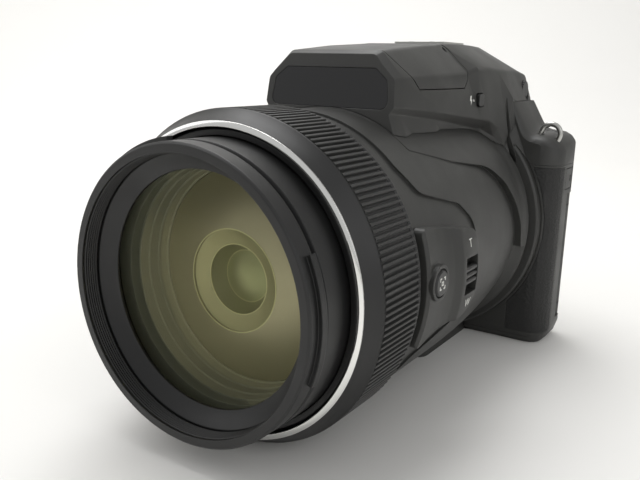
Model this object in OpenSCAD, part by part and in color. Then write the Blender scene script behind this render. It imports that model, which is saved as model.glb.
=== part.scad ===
// Bridge camera with a large motorised zoom lens, in millimetres.
// The origin is the mouth of the tripod socket: the lens looks along -Y, +Z is up
// and the hand grip is on the -X side.

/* [Body] */
// Lens axis to the left side of the body
body_left = 54; // [53:0.5:58]
// Width of the controls and the grip beside the monitor
control_w = 59.6; // [59:0.2:64]
// Front face of the body
body_front = 24; // [23.5:0.5:25]
// Rear face of the body
body_rear = 48; // [47:0.5:52]
// Parting plane between the front and rear covers
split_y = 33; // [32:0.5:34]
// Height of the seam below the top cover
seam_z = 73.5; // [72:0.5:75]
// Height of the left shoulder that carries the strap eyelet
shoulder_z = 85.6; // [84.5:0.2:86.5]
// Height above the barrel of the deck that carries the viewfinder hump
deck_gap = 0.8; // [0.5:0.1:1.2]
// Height of the deck on the grip side
grip_deck_z = 88; // [87:0.5:89]
// Thickness of the moulded covers
wall = 2.2; // [1.8:0.1:2.6]
// Thickness of the base plate
base_t = 3; // [2.6:0.1:3.4]
// Radius of the lower edge of the body
foot_r = 8; // [6:0.5:9]
// Gap along the seams of fixed covers
seam = 0.1; // [0.05:0.05:0.2]
// Gap round a moving piece
clear = 0.3; // [0.25:0.05:0.4]
// Running gap of hinge pins
pin_fit = 0.08; // [0.05:0.01:0.1]

/* [Grip] */
// Reach of the grip ahead of the tripod socket
grip_reach = 27; // [25:0.5:30]
// Width of the grip
grip_w = 33; // [32:0.5:34]
// Forward slope of the grip top in degrees
grip_slope = 15; // [12:0.5:17]
// Thickness of the rubber skins
skin = 1.2; // [1:0.1:1.5]

/* [Lens] */
// Distance from the tripod socket to the front rim
lens_reach = 125; // [124:0.5:128]
// Filter thread diameter
filter_d = 77; // [72:0.5:82]
// Wall round the filter thread
rim_wall = 2.8; // [2.4:0.1:3.2]
// Length of the front rim
rim_l = 5.6; // [5:0.1:6.5]
// Wall of the front zoom tube
tube_wall = 1.8; // [1.6:0.1:2]
// Wall of the middle zoom tube
middle_wall = 2.1; // [1.8:0.1:2.4]
// Wall of the fixed sleeve round the zoom tubes
sleeve_wall = 1; // [0.8:0.1:1.4]
// Front end of the fixed barrel
barrel_y = -108; // [-109:0.5:-107]
// Height of the control ring's ribs above the fixed sleeve
ring_t = 3.8; // [3.4:0.1:4.2]
// Length of the control ring
ring_l = 19.4; // [18:0.2:20]
// Ribs round the control ring
ring_ribs = 168; // [90:2:180]
// Depth of the control ring's ribs
rib_h = 0.9; // [0.6:0.1:1.2]
// Wall of the barrel housing over the sleeve
housing_t = 2.2; // [2:0.1:2.6]
// Drop from the barrel housing to its waist in front of the body
waist_drop = 4.6; // [3.8:0.1:4.8]
// Height of the collar ridge above the barrel housing
collar_h = 1.6; // [1.2:0.1:1.8]
// Height of the zoom pod above the barrel housing
pod_h = 5.3; // [4.8:0.1:6]

/* [Viewfinder hump] */
// Height of the hump above its deck at the accessory shoe
hump_h = 21; // [20.5:0.1:21.5]
// Foremost point of the hump
hump_y = -57; // [-58:0.5:-56.5]
// Depth of the eyecup behind the viewfinder
eyecup_l = 12; // [10:0.5:13]

/* [Monitor] */
// Width of the monitor
monitor_w = 77; // [74:0.5:78]
// Height of the monitor
monitor_h = 52; // [50:0.5:53]
// Thickness of the monitor
monitor_t = 10.4; // [9.6:0.2:11]
// Floor of the recess behind the monitor
recess_y = 39.6; // [39:0.1:40]

/* [Controls] */
// Radius of the mode dial
mode_r = 11.5; // [10:0.5:12]
// Radius of the command dial
command_r = 8.5; // [8:0.5:9]
// Radius of the shutter button
shutter_r = 5.8; // [5:0.1:6]
// Radius of the zoom lever
lever_r = 10.5; // [10:0.1:11]
// Radius of the multi selector
selector_r = 11; // [10:0.5:11.5]
// Radius of the small round buttons
button_r = 3.6; // [3:0.1:4]
// Height of a button above its cover
button_h = 1.4; // [1:0.1:1.8]
// Radius of the accessory screw thread in the base
socket_r = 3.175; // [3:0.005:3.5]

/* [Hidden] */
$fn = 64;
// Overrun of cutting shapes past the faces that they open
over = 1;
// Reach of cutting shapes past the whole camera
far = 300;
// Radii about the lens axis, each one a wall or a gap outside the last
rim_r = filter_d / 2 + rim_wall;
tube1_r = rim_r;
tube2_r = tube1_r + clear + middle_wall;
sleeve_in = tube2_r + clear;
sleeve_out = sleeve_in + sleeve_wall;
ring_r = sleeve_out + ring_t;
housing_r = sleeve_out + housing_t;
waist_r = housing_r - waist_drop;
collar_r = housing_r + collar_h;
pod_r = housing_r + pod_h;
// Heights set by the lens axis, with the control ring just clear of a table
ring_lift = 0.2;
axis_z = ring_r + ring_lift;
deck_z = axis_z + housing_r + deck_gap;
hump_z = deck_z + hump_h;
// Widths set by the monitor: its hinge on the left, then the controls and the grip on the right
hinge_r = 4.4;
hinge_x = body_left - hinge_r - 0.6;
monitor_right = hinge_x - hinge_r;
monitor_left = monitor_right - monitor_w;
body_right = control_w - monitor_left;

// Corner rounding: a corner is [x, y, radius] and becomes an arc of n steps.
function unit(v) = v / norm(v);
function xy(c) = [c[0], c[1]];
function turn(d) = d > 180 ? d - 360 : d < -180 ? d + 360 : d;
function corner_arc(a, b, c, r, n) =
    let (
        u = unit(a - b),
        v = unit(c - b),
        half = acos(u * v) / 2,
        m = b + unit(u + v) * r / sin(half),
        p = b + u * r / tan(half),
        q = b + v * r / tan(half),
        from = atan2(p.y - m.y, p.x - m.x),
        sweep = turn(atan2(q.y - m.y, q.x - m.x) - from)
    )
    [for (i = [0:n]) m + r * [cos(from + sweep * i / n), sin(from + sweep * i / n)]];
function rounded(c, n = 4) =
    let (k = len(c))
    [for (i = [0:k - 1])
        each corner_arc(xy(c[(i + k - 1) % k]), xy(c[i]), xy(c[(i + 1) % k]), c[i][2], n)];
function at_height(ring, z) = [for (p = ring) [p.x, p.y, z]];
function rect_corners(x0, y0, x1, y1, r) = [[x1, y0, r], [x1, y1, r], [x0, y1, r], [x0, y0, r]];

// Closed skin over rings of equal point counts, stacked upwards.
module loft(rings) {
    n = len(rings[0]);
    m = len(rings);
    sides = [for (j = [0:m - 2], i = [0:n - 1])
        let (a = j * n + i, b = j * n + (i + 1) % n)
        each [[a, a + n, b + n], [a, b + n, b]]];
    bottom = [for (i = [0:n - 1]) i];
    top = [for (i = [0:n - 1]) m * n - 1 - i];
    polyhedron([for (r = rings) each r], concat([bottom, top], sides), convexity = 6);
}

// An XZ outline carried from y0 to y1, and a YZ outline carried from x0 to x1.
module along_y(y0, y1) translate([0, y1, 0]) rotate([90, 0, 0]) linear_extrude(y1 - y0) children();
module along_x(x0, x1) translate([x0, 0, 0]) rotate([90, 0, 90]) linear_extrude(x1 - x0) children();
module slab(lo, hi) translate(lo) cube(hi - lo);
module plate_y(x0, z0, x1, z1, r, y0, y1) along_y(y0, y1) polygon(rounded(rect_corners(x0, z0, x1, z1, r)));

// Shapes about the lens axis: a profile of [radius, y] points, and a plain disc.
module on_axis() translate([0, 0, axis_z]) rotate([-90, 0, 0]) children();
module turned(profile) on_axis() rotate_extrude($fn = 96) polygon(profile);
module axis_disc(r, y0, y1) on_axis() translate([0, 0, y0]) cylinder(r = r, h = y1 - y0, $fn = 96);

// Button with a chamfered crown: the shank goes down by depth and the crown up by h.
crown = 0.5;
module button(r, h, depth) {
    translate([0, 0, -depth]) cylinder(r = r, h = depth + h - crown);
    translate([0, 0, h - crown]) cylinder(r1 = r, r2 = r - crown, h = crown);
}
module facing_rear(x, z) translate([x, body_rear, z]) rotate([-90, 0, 0]) children();

// Wheel outline with raised ribs: four points to each rib.
rib_steps = [[0, 0], [0.12, 1], [0.5, 1], [0.62, 0]];
function ribbed(r, h, n) = [for (i = [0:n - 1], s = rib_steps)
    let (a = 360 * (i + s[0]) / n, q = r - h + h * s[1]) q * [cos(a), sin(a)]];

// Outer form of the body: plan corners, pulled in by an inset, stacked over the height.
grip_in = -body_right + grip_w;
grip_root = grip_in + 5;
function shrunk(r, d) = max(r - d, 1);
function body_plan(d) = rounded([
    [body_left - d, body_rear - d, shrunk(4, d)],
    [-body_right + d, body_rear - d, shrunk(11, d)],
    [-body_right + d, -grip_reach + d, shrunk(14, d)],
    [grip_in - d, -grip_reach + d, shrunk(12, d)],
    [grip_root - d, body_front + d, 9 + d],
    [body_left - d, body_front + d, shrunk(8, d)]]);
foot_steps = [0.2, 0.45, 1];
function foot_inset(t) = foot_r * (1 - sqrt(1 - (1 - t) * (1 - t)));
function foot_height(t) = foot_r * (t - foot_steps[0]);
body_roof = deck_z + 12;
module body_form(d) {
    levels = concat([for (t = foot_steps) [foot_height(t), foot_inset(t)]], [[body_roof, 0]]);
    loft([for (s = levels) at_height(body_plan(d + s[1]), s[0])]);
}

// Decks seen from the front, with the left shoulder stepping down to the eyelet and rounded at its front.
shoulder_x = 33.5;
step_x = 41;
deck_corner = 1.5;
lean = 0.4;
function deck_ring(d, e) = rounded([
    [body_left + over - d - e, -far, 1],
    [body_left + over - d - e, shoulder_z - d - e, 9],
    [step_x - d - e * lean, shoulder_z - d - e, 6 + d],
    [shoulder_x - d - e * lean, deck_z + deck_corner - d, 2],
    [shoulder_x - 6 - d, body_roof - 2, 1],
    [-shoulder_x + 6, body_roof - 2, 1],
    [-shoulder_x - 1 + d, grip_deck_z - d, 3],
    [-body_right - over + d, grip_deck_z - d, 9],
    [-body_right - over + d, -far, 1]], 5);
// Steps of the rounded front edge: [depth behind the front face, drop].
edge_steps = [[14, 0], [8, 0.6], [4, 1.2], [2, 1.8], [0.8, 2.6], [0.1, 3.6]];
module deck_form(d) {
    steps = concat([[far, 0]], edge_steps, [[-far, edge_steps[len(edge_steps) - 1][1]]]);
    rotate([90, 0, 0]) loft([for (s = steps) at_height(deck_ring(d, s[1]), -body_front - d - s[0])]);
}

// Sloping top of the grip: local z stands square to the slope.
slope_y = 9;
module on_slope(x, along) translate([x, slope_y, grip_deck_z]) rotate([grip_slope, 0, 0])
    translate([0, along, 0]) children();
module above_slope(d) translate([-far, slope_y, grip_deck_z - d]) rotate([grip_slope, 0, 0])
    translate([0, -far, 0]) cube([far + grip_root, far, far]);

// Whole body pulled in by an inset, and its hollow shell between planes.
module body_solid(d) difference() {
    intersection() {
        body_form(d);
        deck_form(d);
    }
    above_slope(d);
}
module body_shell(z0, z1, y0, y1) difference() {
    intersection() {
        body_solid(0);
        slab([-far, y0, z0], [far, y1, z1]);
    }
    body_solid(wall);
}

// Zones of the rubber skins on the covers.
module grip_zone(d) slab([-body_right - over, -grip_reach - over, base_t + 5 + d],
    [grip_in + 6 - d, split_y - 6 - d, seam_z - 3 - d]);
module side_zone(d) difference() {
    slab([body_left - 16 + d, body_front - over, base_t + 2 + d],
        [body_left + over, split_y - 1 - d, seam_z - 1 - d]);
    axis_disc(collar_r + 1 + d, -far, far);
}
thumb_w = 22;
thumb_h = 30.5;
thumb_wrap = 12;
module thumb_zone(d) slab([-body_right - over, body_rear - thumb_wrap + d, seam_z - 3 - thumb_h + d],
    [-body_right + thumb_w - d, body_rear + over, seam_z - 3 - d]);
module skin_piece() difference() {
    intersection() {
        body_form(0);
        children();
    }
    body_form(skin);
}
module skin_recess() difference() {
    children();
    body_form(skin + seam);
}

// Front cover with the bulkhead behind the barrel flange.
module bulkhead() intersection() {
    body_form(wall / 2);
    slab([-collar_r - 5, body_front, base_t + seam], [body_left, split_y - seam, seam_z - seam]);
}
module front_cover() color("#2b2b2a") difference() {
    union() {
        body_shell(base_t + seam, seam_z - seam, -far, split_y - seam);
        bulkhead();
    }
    axis_disc(collar_r + seam, -far, flange_y + seam);
    axis_disc(waist_r - 4, -far, far);
    skin_recess() grip_zone(0);
    skin_recess() side_zone(0);
}
module grip_rubber() color("#1d1d1d") skin_piece() grip_zone(seam);
module side_rubber() color("#232323") skin_piece() side_zone(seam);
module thumb_rest() color("#1d1d1d") skin_piece() thumb_zone(seam);

// Rear cover: a thick back wall with the monitor recess and the pockets of the keys.
hinge_y = recess_y + clear + monitor_t / 2;
hinge_pin_r = 1.4;
hinge_pin_l = 3;
monitor_z = 9;
key_depth = 3.8;
key_room = 0.9;
module monitor_recess() slab([monitor_right - monitor_w - over, recess_y, monitor_z - clear],
    [body_left + over, body_rear + over, monitor_z + monitor_h + clear]);
module rear_wall() intersection() {
    body_form(wall / 2);
    slab([-body_right + thumb_w, recess_y - wall, base_t + seam], [body_left, body_rear, seam_z - seam]);
}
module rear_cover() color("#2b2b2a") difference() {
    union() {
        body_shell(base_t + seam, seam_z - seam, split_y + seam, far);
        rear_wall();
    }
    monitor_recess();
    translate([hinge_x, hinge_y, monitor_z - hinge_pin_l - clear])
        cylinder(r = hinge_pin_r + pin_fit, h = monitor_h + 2 * hinge_pin_l + 2 * clear);
    skin_recess() thumb_zone(0);
    for (k = rear_keys) facing_rear(k[0], k[1]) translate([0, 0, -key_depth - key_room])
        cylinder(r = k[2] + clear, h = far);
    facing_rear(focus_x, focus_z) translate([0, 0, -focus_depth - clear])
        cylinder(r = focus_r + clear, h = far);
    facing_rear(selector_x, selector_z) translate([0, 0, -selector_depth - clear])
        cylinder(r = selector_r + clear, h = far);
    connector_room();
}

// Top cover: the shoulders and the decks that carry the controls.
module top_cover() color("#2d2d2c") difference() {
    body_shell(seam_z, deck_z, -far, far);
    axis_disc(collar_r + seam, -far, flange_y + seam);
    on_slope(shutter_x, shutter_along) translate([0, 0, -far / 2]) cylinder(r = stem_r + clear, h = far);
    for (k = slope_keys) on_slope(k[0], k[1]) translate([0, 0, -10]) cylinder(r = k[2] + clear, h = far);
    for (k = deck_keys) facing_rear(k[0], k[1]) translate([0, 0, -10]) cylinder(r = k[2] + clear, h = far);
    for (p = [[mode_x, mode_y], [command_x, command_y]]) translate([p[0], p[1], grip_deck_z - 10])
        cylinder(r = stem_r + clear, h = far);
    eyelet_posts(seam);
    eye_hole(seam, body_rear - 9, far);
}

// Base plate with the foot under the barrel that holds the tripod socket.
foot_w = 20;
foot_front = -16;
foot_rise = 0.2;
bush_r = 6.5;
bush_h = 6.5;
module base_plate() color("#2a2a29") difference() {
    union() {
        intersection() {
            body_form(0);
            slab([-far, -far, -over], [far, far, base_t]);
        }
        difference() {
            translate([0, 0, foot_rise]) linear_extrude(axis_z / 3)
                polygon(rounded(rect_corners(-foot_w, foot_front, foot_w, body_front + 6, 5)));
            slab([-far, body_front, base_t - over], [far, far, far]);
            housing_form(seam);
        }
    }
    translate([0, 0, -over]) cylinder(r = bush_r + seam, h = bush_h + 2 * over);
    battery_door_room();
}
module tripod_socket() color("#b9b9b6") difference() {
    cylinder(r = bush_r, h = bush_h);
    translate([0, 0, -over]) cylinder(r = socket_r, h = bush_h - 0.8 + over);
}

// Fixed barrel: housing, sleeve and the rings in front of it.
sleeve_back = -23;
cone_l = 5.4;
ring_bed = ring_r - 2.7;
ring_y = barrel_y + cone_l + clear;
index_y = ring_y + ring_l + clear;
index_l = 2.8;
housing_y = index_y + index_l + seam;
flange_y = split_y - 2;
waist_y = 13;
lip_y = 16;
groove_y = 18.4;
ridge_y = 20.6;
lip_r = collar_r - 2.7;
groove_r = collar_r - 3.6;
// Side of the housing, narrowing to the waist, then the lip, groove and ridge of the collar.
taper_y = -50;
taper_steps = 10;
taper_power = 2.6;
function taper(d) = [for (i = [0:taper_steps]) let (t = i / taper_steps)
    [housing_r - waist_drop * pow(t, taper_power) + d, taper_y + (waist_y - taper_y) * t]];
function side_outline(d) = concat([[0, housing_y], [housing_r + d, housing_y]], taper(d), [
    [waist_r + 0.8 + d, waist_y + 1.2], [lip_r - 0.8 + d, lip_y - 0.5], [lip_r + d, lip_y + 0.4],
    [lip_r + d, groove_y - 0.6], [groove_r + d, groove_y], [groove_r + d, ridge_y - 0.2],
    [collar_r - 0.7 + d, ridge_y], [collar_r + d, ridge_y + 0.8], [collar_r + d, flange_y], [0, flange_y]]);
// Fuller top of the housing, and the side view of the crease below it: [y, height above the axis, radius].
function top_outline(d) = [
    [0, -60], [housing_r + 0.15 + d, -60], [housing_r + 0.2 + d, -45], [housing_r + 0.5 + d, -20],
    [housing_r + 0.45 + d, -9], [housing_r + 0.1 + d, -2], [housing_r - 0.8 + d, 6],
    [housing_r - 1.7 + d, 12], [lip_r + 0.1 + d, lip_y + 0.2], [lip_r + 0.1 + d, lip_y + 1], [0, lip_y + 1]];
crease = [
    [-58, 36, 1], [-36.6, 31, 30], [-12.7, 27.3, 20], [-3, 21, 15], [4, 13, 15], [10, 3, 15], [13, -6, 1]];
module crease_zone() along_x(-far, far) polygon(rounded(concat(
    [for (p = crease) [p[0], axis_z + p[1], p[2]]],
    [[far, axis_z - 6, 1], [far, far, 1], [-58, far, 1]])));
// Side panel, standing proud of the band behind the index ring: half of its edge, above the axis.
band_drop = 0.8;
band_r = housing_r - band_drop;
panel_half = [[-38, 13, 8], [-46, 19.5, 6], [-68, 25.2, 6], [-72.6, 33, 4], [-73, 70, 1], [far, 70, 1]];
function panel_corner(p, s) = [p[0], axis_z + s * p[1], p[2]];
module panel_zone() along_x(-far, far) polygon(rounded(concat(
    [for (p = panel_half) panel_corner(p, 1)],
    [for (i = [len(panel_half) - 1:-1:0]) panel_corner(panel_half[i], -1)])));
function sleeve_outline(d) = [
    [0, barrel_y + 0.8], [sleeve_out + d, barrel_y + 0.8], [sleeve_out + d, sleeve_back],
    [waist_r - 2.2 + d, sleeve_back + 5], [waist_r - 2.2 + d, split_y - 6], [0, split_y - 6]];
module housing_form(d) difference() {
    turned(side_outline(d));
    slab([-far, body_front - 2, -far], [far, far, base_t + seam - d]);
}
module barrel_housing() color("#2f2f2e") difference() {
    union() {
        axis_disc(band_r, housing_y, -30);
        intersection() {
            housing_form(0);
            panel_zone();
        }
        intersection() {
            turned(top_outline(0));
            crease_zone();
        }
    }
    turned(sleeve_outline(seam));
    axis_disc(waist_r - 4, -far, far);
    translate([0, 0, -over]) cylinder(r = bush_r + seam, h = bush_h + over + seam);
}
module lens_sleeve() color("#1c1c1c") difference() {
    turned(sleeve_outline(0));
    axis_disc(sleeve_in, -far, sleeve_back - 1);
    axis_disc(waist_r - 3.4, -far, split_y - 8);
    axis_disc(24, -far, far);
}
module front_cone_ring() color("#262626") difference() {
    turned([
        [0, barrel_y + 0.5], [sleeve_out + 0.6, barrel_y + 0.5], [ring_r - 0.7, barrel_y + cone_l - 0.7],
        [ring_r, barrel_y + cone_l], [ring_bed, barrel_y + cone_l], [ring_bed, index_y], [0, index_y]]);
    axis_disc(sleeve_out + seam, -far, far);
}
module chrome_ring() color("#e8e8e6") difference() {
    turned([
        [0, barrel_y - 0.4], [sleeve_out - 0.1, barrel_y - 0.4], [sleeve_out + 0.6, barrel_y],
        [sleeve_out + 0.6, barrel_y + 0.5], [0, barrel_y + 0.5]]);
    axis_disc(sleeve_in, -far, far);
}
module control_ring() color("#202020") difference() {
    on_axis() translate([0, 0, ring_y]) linear_extrude(ring_l) polygon(ribbed(ring_r, rib_h, ring_ribs));
    axis_disc(ring_bed + clear, -far, far);
}
module rear_index_ring() color("#2a2a2a") difference() {
    turned([
        [0, index_y], [ring_r - 0.9, index_y], [ring_r - 0.5, index_y + 0.5], [ring_r - 0.5, index_y + 1.2],
        [ring_r - 2, index_y + 1.5], [ring_r - 2, index_y + index_l], [0, index_y + index_l]]);
    axis_disc(sleeve_out + seam, -far, far);
}

// Telescoping tubes: the middle one carries the front one at half its travel.
rim_y = -lens_reach;
tube1_y = rim_y + rim_l + seam;
tube1_back = -38.5;
tube2_y = barrel_y + 0.7;
tube2_back = -31;
tube1_in = tube1_r - tube_wall;
tube2_in = tube1_r + clear;
module zoom_tube_middle() color("#222222") difference() {
    turned([
        [0, tube2_y], [tube2_r - 0.6, tube2_y], [tube2_r, tube2_y + 0.6],
        [tube2_r, tube2_back], [0, tube2_back]]);
    axis_disc(tube2_in, -far, tube2_back - 2);
    axis_disc(group_r + seam, -far, far);
}
module zoom_tube_front() color("#2c2c2c") difference() {
    turned([
        [0, tube1_y], [tube1_r - 1.2, tube1_y], [tube1_r - 1.2, tube1_y + 1.4], [tube1_r, tube1_y + 1.9],
        [tube1_r, tube1_back], [0, tube1_back]]);
    axis_disc(tube1_in, -far, far);
}

// Front rim with its filter thread and three hood lugs.
lug_h = 1.2;
lug_span = 46;
lug_l = 2.2;
module filter_ring() color("#242424") difference() {
    union() {
        turned([
            [0, rim_y], [rim_r - 0.6, rim_y], [rim_r, rim_y + 0.6],
            [rim_r, rim_y + rim_l], [0, rim_y + rim_l]]);
        for (a = [-25, 95, 215]) on_axis() rotate([0, 0, a]) translate([0, 0, rim_y + rim_l - lug_l])
            rotate_extrude(angle = lug_span, $fn = 96) translate([rim_r - 1, 0]) square([lug_h + 1, lug_l]);
    }
    axis_disc(filter_d / 2, -far, far);
}

// Front glass, its retaining ring, the stepped light baffle and the glass behind it.
glass_r = 33.5;
seat_r = tube1_in - seam;
lens_edge = 5;
front_bow = 3.4;
back_bow = 2.2;
glass_y = rim_y + rim_l + front_bow + 0.6;
module retaining_ring() color("#303030") turned([
    [seat_r, rim_y + rim_l + seam], [seat_r, glass_y], [glass_r, glass_y], [glass_r, glass_y - 0.8],
    [glass_r + 0.8, glass_y - 1.2], [filter_d / 2 - 0.6, rim_y + rim_l + seam]]);
function bow_radius(r, bow) = (r * r + bow * bow) / (2 * bow);
function bow_y(q, r, bow) = sqrt(pow(bow_radius(r, bow), 2) - q * q) - (bow_radius(r, bow) - bow);
bow_steps = 8;
function bow_line(r, y, bow) = [for (i = [0:bow_steps])
    let (q = r * i / bow_steps) [q, y - bow_y(q, r, bow)]];
module lens(r, edge_r, y, thick, front, back) turned(concat(
    bow_line(r, y, front),
    [[edge_r, y], [edge_r, y + thick]],
    [for (i = [bow_steps:-1:0]) bow_line(r, y + thick, back)[i]]));
module front_lens() color("#8d8a5e", 0.6)
    lens(glass_r - 0.2, seat_r - 0.2, glass_y + seam, lens_edge, front_bow, back_bow);
baffle_y = glass_y + lens_edge + 2 * seam;
baffle_in = 31;
baffle_l = 17;
baffle_steps = 5;
baffle_seat = 4;
inner_edge = 2.6;
inner_bow = 2.2;
module baffle_cell() color("#141414") difference() {
    axis_disc(seat_r - 0.1, baffle_y, baffle_y + baffle_l + baffle_seat);
    for (i = [0:baffle_steps - 1]) axis_disc(glass_r + 1 - (glass_r - baffle_in) * i / baffle_steps,
        -far, baffle_y + baffle_l * (i + 1) / baffle_steps);
    axis_disc(baffle_in - 1.5, -far, far);
}
module inner_lens() color("#6f7f55", 0.6)
    lens(baffle_in - 2.2, baffle_in - 1.6, baffle_y + baffle_l + seam, inner_edge, inner_bow, inner_bow / 4);

// Lens groups on the middle tube and in front of the sensor.
group_r = 34;
module lens_cell(r, y, l, glass) {
    turned([[r, y], [r, y + l], [glass, y + l], [glass, y + l - 1], [glass + 3, y + 2], [glass + 3, y]]);
    lens(glass + 0.5, glass + 1, y + 2.2, l - 3.4, 1.6, 1);
}
group_l = 7;
group_glass = 20;
group_set = 5;
rear_l = 9;
rear_glass = 16;
rear_y = 2;
module zoom_lens_group() color("#3a3a36") lens_cell(group_r, tube2_back - group_set, group_l, group_glass);
module rear_lens_group() color("#3a3a36") lens_cell(waist_r - 3.5, rear_y, rear_l, rear_glass);
board_y = split_y - 6 + seam;
board_w = 54;
board_h = 42;
chip_w = 10;
chip_h = 8;
module sensor_board() color("#2f5a3a") {
    slab([-board_w / 2, board_y, axis_z - board_h / 2], [board_w / 2, board_y + 1.6, axis_z + board_h / 2]);
    slab([-chip_w / 2, board_y - 1.4, axis_z - chip_h / 2], [chip_w / 2, board_y, axis_z + chip_h / 2]);
}

// Zoom pod on the left of the barrel: a low pad with the snap-back button, rising to the slider's plateau.
pod_front = housing_y + 1.2;
pod_back = -48.5;
pod_step = 2.9;
plateau_y = -60.5;
pod_pad_r = pod_r - pod_step;
snap_y = -73;
snap_z = axis_z + 1.4;
snap_r = 4;
snap_rim = 1.3;
snap_face = pod_pad_r + 1;
slider_y = -54.8;
slide_travel = 2.5;
slider_l = 5.8;
slider_w = 8;
slot_depth = 3;
pod_corners = [
    [pod_front, -19, 2], [-63, -13.5, 8], [-53.5, -11.5, 5], [pod_back, -4, 5],
    [pod_back, 9, 5], [-51.5, 13.6, 3], [pod_front, 17.5, 2]];
function pod_profile() = [
    [0, pod_front], [pod_pad_r - 0.8, pod_front], [pod_pad_r, pod_front + 0.9], [pod_pad_r - 0.2, -70],
    [pod_pad_r + 0.2, plateau_y - 6], [pod_r - 1.6, plateau_y - 2.1], [pod_r - 0.3, plateau_y - 0.8],
    [pod_r, plateau_y], [pod_r, pod_back - 1.2], [pod_r - 0.8, pod_back + over], [0, pod_back + over]];
module pod_form() intersection() {
    along_x(0, far) polygon(rounded([for (p = pod_corners) [p[0], axis_z + p[1], p[2]]]));
    turned(pod_profile());
}
module at_pod(y, z) translate([0, y, z]) rotate([0, 90, 0]) children();
module slider_slot(d) slab(
    [pod_r - slot_depth, slider_y - slider_w / 2 - d, axis_z - slider_l / 2 - slide_travel - d],
    [pod_r + over, slider_y + slider_w / 2 + d, axis_z + slider_l / 2 + slide_travel + d]);
module side_zoom_pod() color("#2d2d2c") difference() {
    union() {
        pod_form();
        at_pod(snap_y, snap_z) cylinder(r = snap_r + snap_rim, h = snap_face);
    }
    axis_disc(band_r + seam, -far, far);
    at_pod(snap_y, snap_z) translate([0, 0, snap_face - slot_depth]) cylinder(r = snap_r + clear, h = far);
    slider_slot(clear);
}
snap_sink = 0.6;
module snap_back_button() color("#1e1e1e") at_pod(snap_y, snap_z) translate([0, 0, snap_face - snap_sink])
    button(snap_r, 1, slot_depth - 1 - snap_sink);
slider_ribs = 3;
rib_pitch = slider_l / slider_ribs;
rib_r = rib_pitch / 2 - 0.1;
module side_zoom_slider() color("#383836") {
    slab([pod_r - slot_depth + clear, slider_y - slider_w / 2, axis_z - slider_l / 2],
        [pod_r - 1, slider_y + slider_w / 2, axis_z + slider_l / 2]);
    for (i = [0:slider_ribs - 1])
        translate([pod_r - 1, slider_y - slider_w / 2, axis_z + (i - 1) * rib_pitch])
            rotate([-90, 0, 0]) cylinder(r = rib_r, h = slider_w);
}

// Viewfinder hump: front-view sections with heights above the deck,
// [y, top, half top, half ridge, ridge, half lip, lip, half neck, neck, half foot].
hump_back = body_rear + 2;
neck_low = axis_z + 25;
hump_sections = [
    [hump_back + over, 12.4, 20.5, 29, 10.2, 33, -2, 32.6, -4, 32],
    [43, 17.2, 15.5, 29.4, 11, 34, -2, 33.6, -4, 33],
    [33, 20.7, 14.5, 29.6, 11.6, 34.2, -1, 34, -4, 36],
    [body_front, 20.9, 15.5, 29.6, 11.8, 33.6, 1.5, 35.6, -8, 41.8],
    [17, 21, 16.2, 29.6, 12, 34.6, -12.6, 34.2, -17, 36],
    [12.5, 21, 16.6, 29.5, 12.2, 33, -9.4, 31, -13, 30.8],
    [6, 21, 17, 29.3, 12.4, 31.9, -6.6, 28, -9.6, 27.8],
    [-2, 20.9, 17.4, 29, 12.4, 31.2, -5.6, 27.6, -8.6, 27.4],
    [-8, 20.5, 16.6, 27.2, 10.8, 30.6, -4.8, 27.2, -7.8, 27],
    [-30, 19.2, 17.5, 27, 9.8, 28.4, -2.1, 26, -4.7, 30.2],
    [hump_y + 5, 17.2, 17, 25, 8.8, 25.8, 0, 24, -2.3, 33],
    [hump_y + 1, 15.4, 15.5, 23.6, 8.4, 24.6, 0.3, 23.2, -2, 32.6],
    [hump_y - 2, 13.6, 14, 22.4, 8, 23.4, 0.6, 22.2, -1.8, 32]];
function hump_half(s, d) = [
    [s[9] - d, neck_low, 1], [s[7] - d, deck_z + s[8] + d / 2, 1], [s[5] - d, deck_z + s[6] + d / 2, 1],
    [s[3] - d, deck_z + s[4], 2.5], [s[2] - d / 2, deck_z + s[1] - d, 3]];
function flipped(c) = [-c[0], c[1], c[2]];
function mirrored(half) = concat(half, [for (i = [len(half) - 1:-1:0]) flipped(half[i])]);
module hump_loft(d) rotate([90, 0, 0])
    loft([for (s = hump_sections) at_height(rounded(mirrored(hump_half(s, d)), 3), -s[0])]);

// Front of the hump leans back; the plate frame is measured along it.
plate_lean = 8;
plate_z = axis_z + housing_r - 1.2;
plate_t = 1;
module on_front() translate([0, hump_y, plate_z]) rotate([-plate_lean, 0, 0]) children();
function plate_corners(d) = mirrored([
    [22.4 - d, 1.4 + d, 2.5], [21.2 - d, 10.4, 2], [16.8 - d, 14 - d, 1.5]]);
module plate_outline(d) polygon(rounded(plate_corners(d)));
module hump_form(d) difference() {
    hump_loft(d);
    slab([-far, hump_back, -far], [far, far, far]);
    on_front() translate([-far, -far + d, -far]) cube([2 * far, far, 2 * far]);
}

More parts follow.
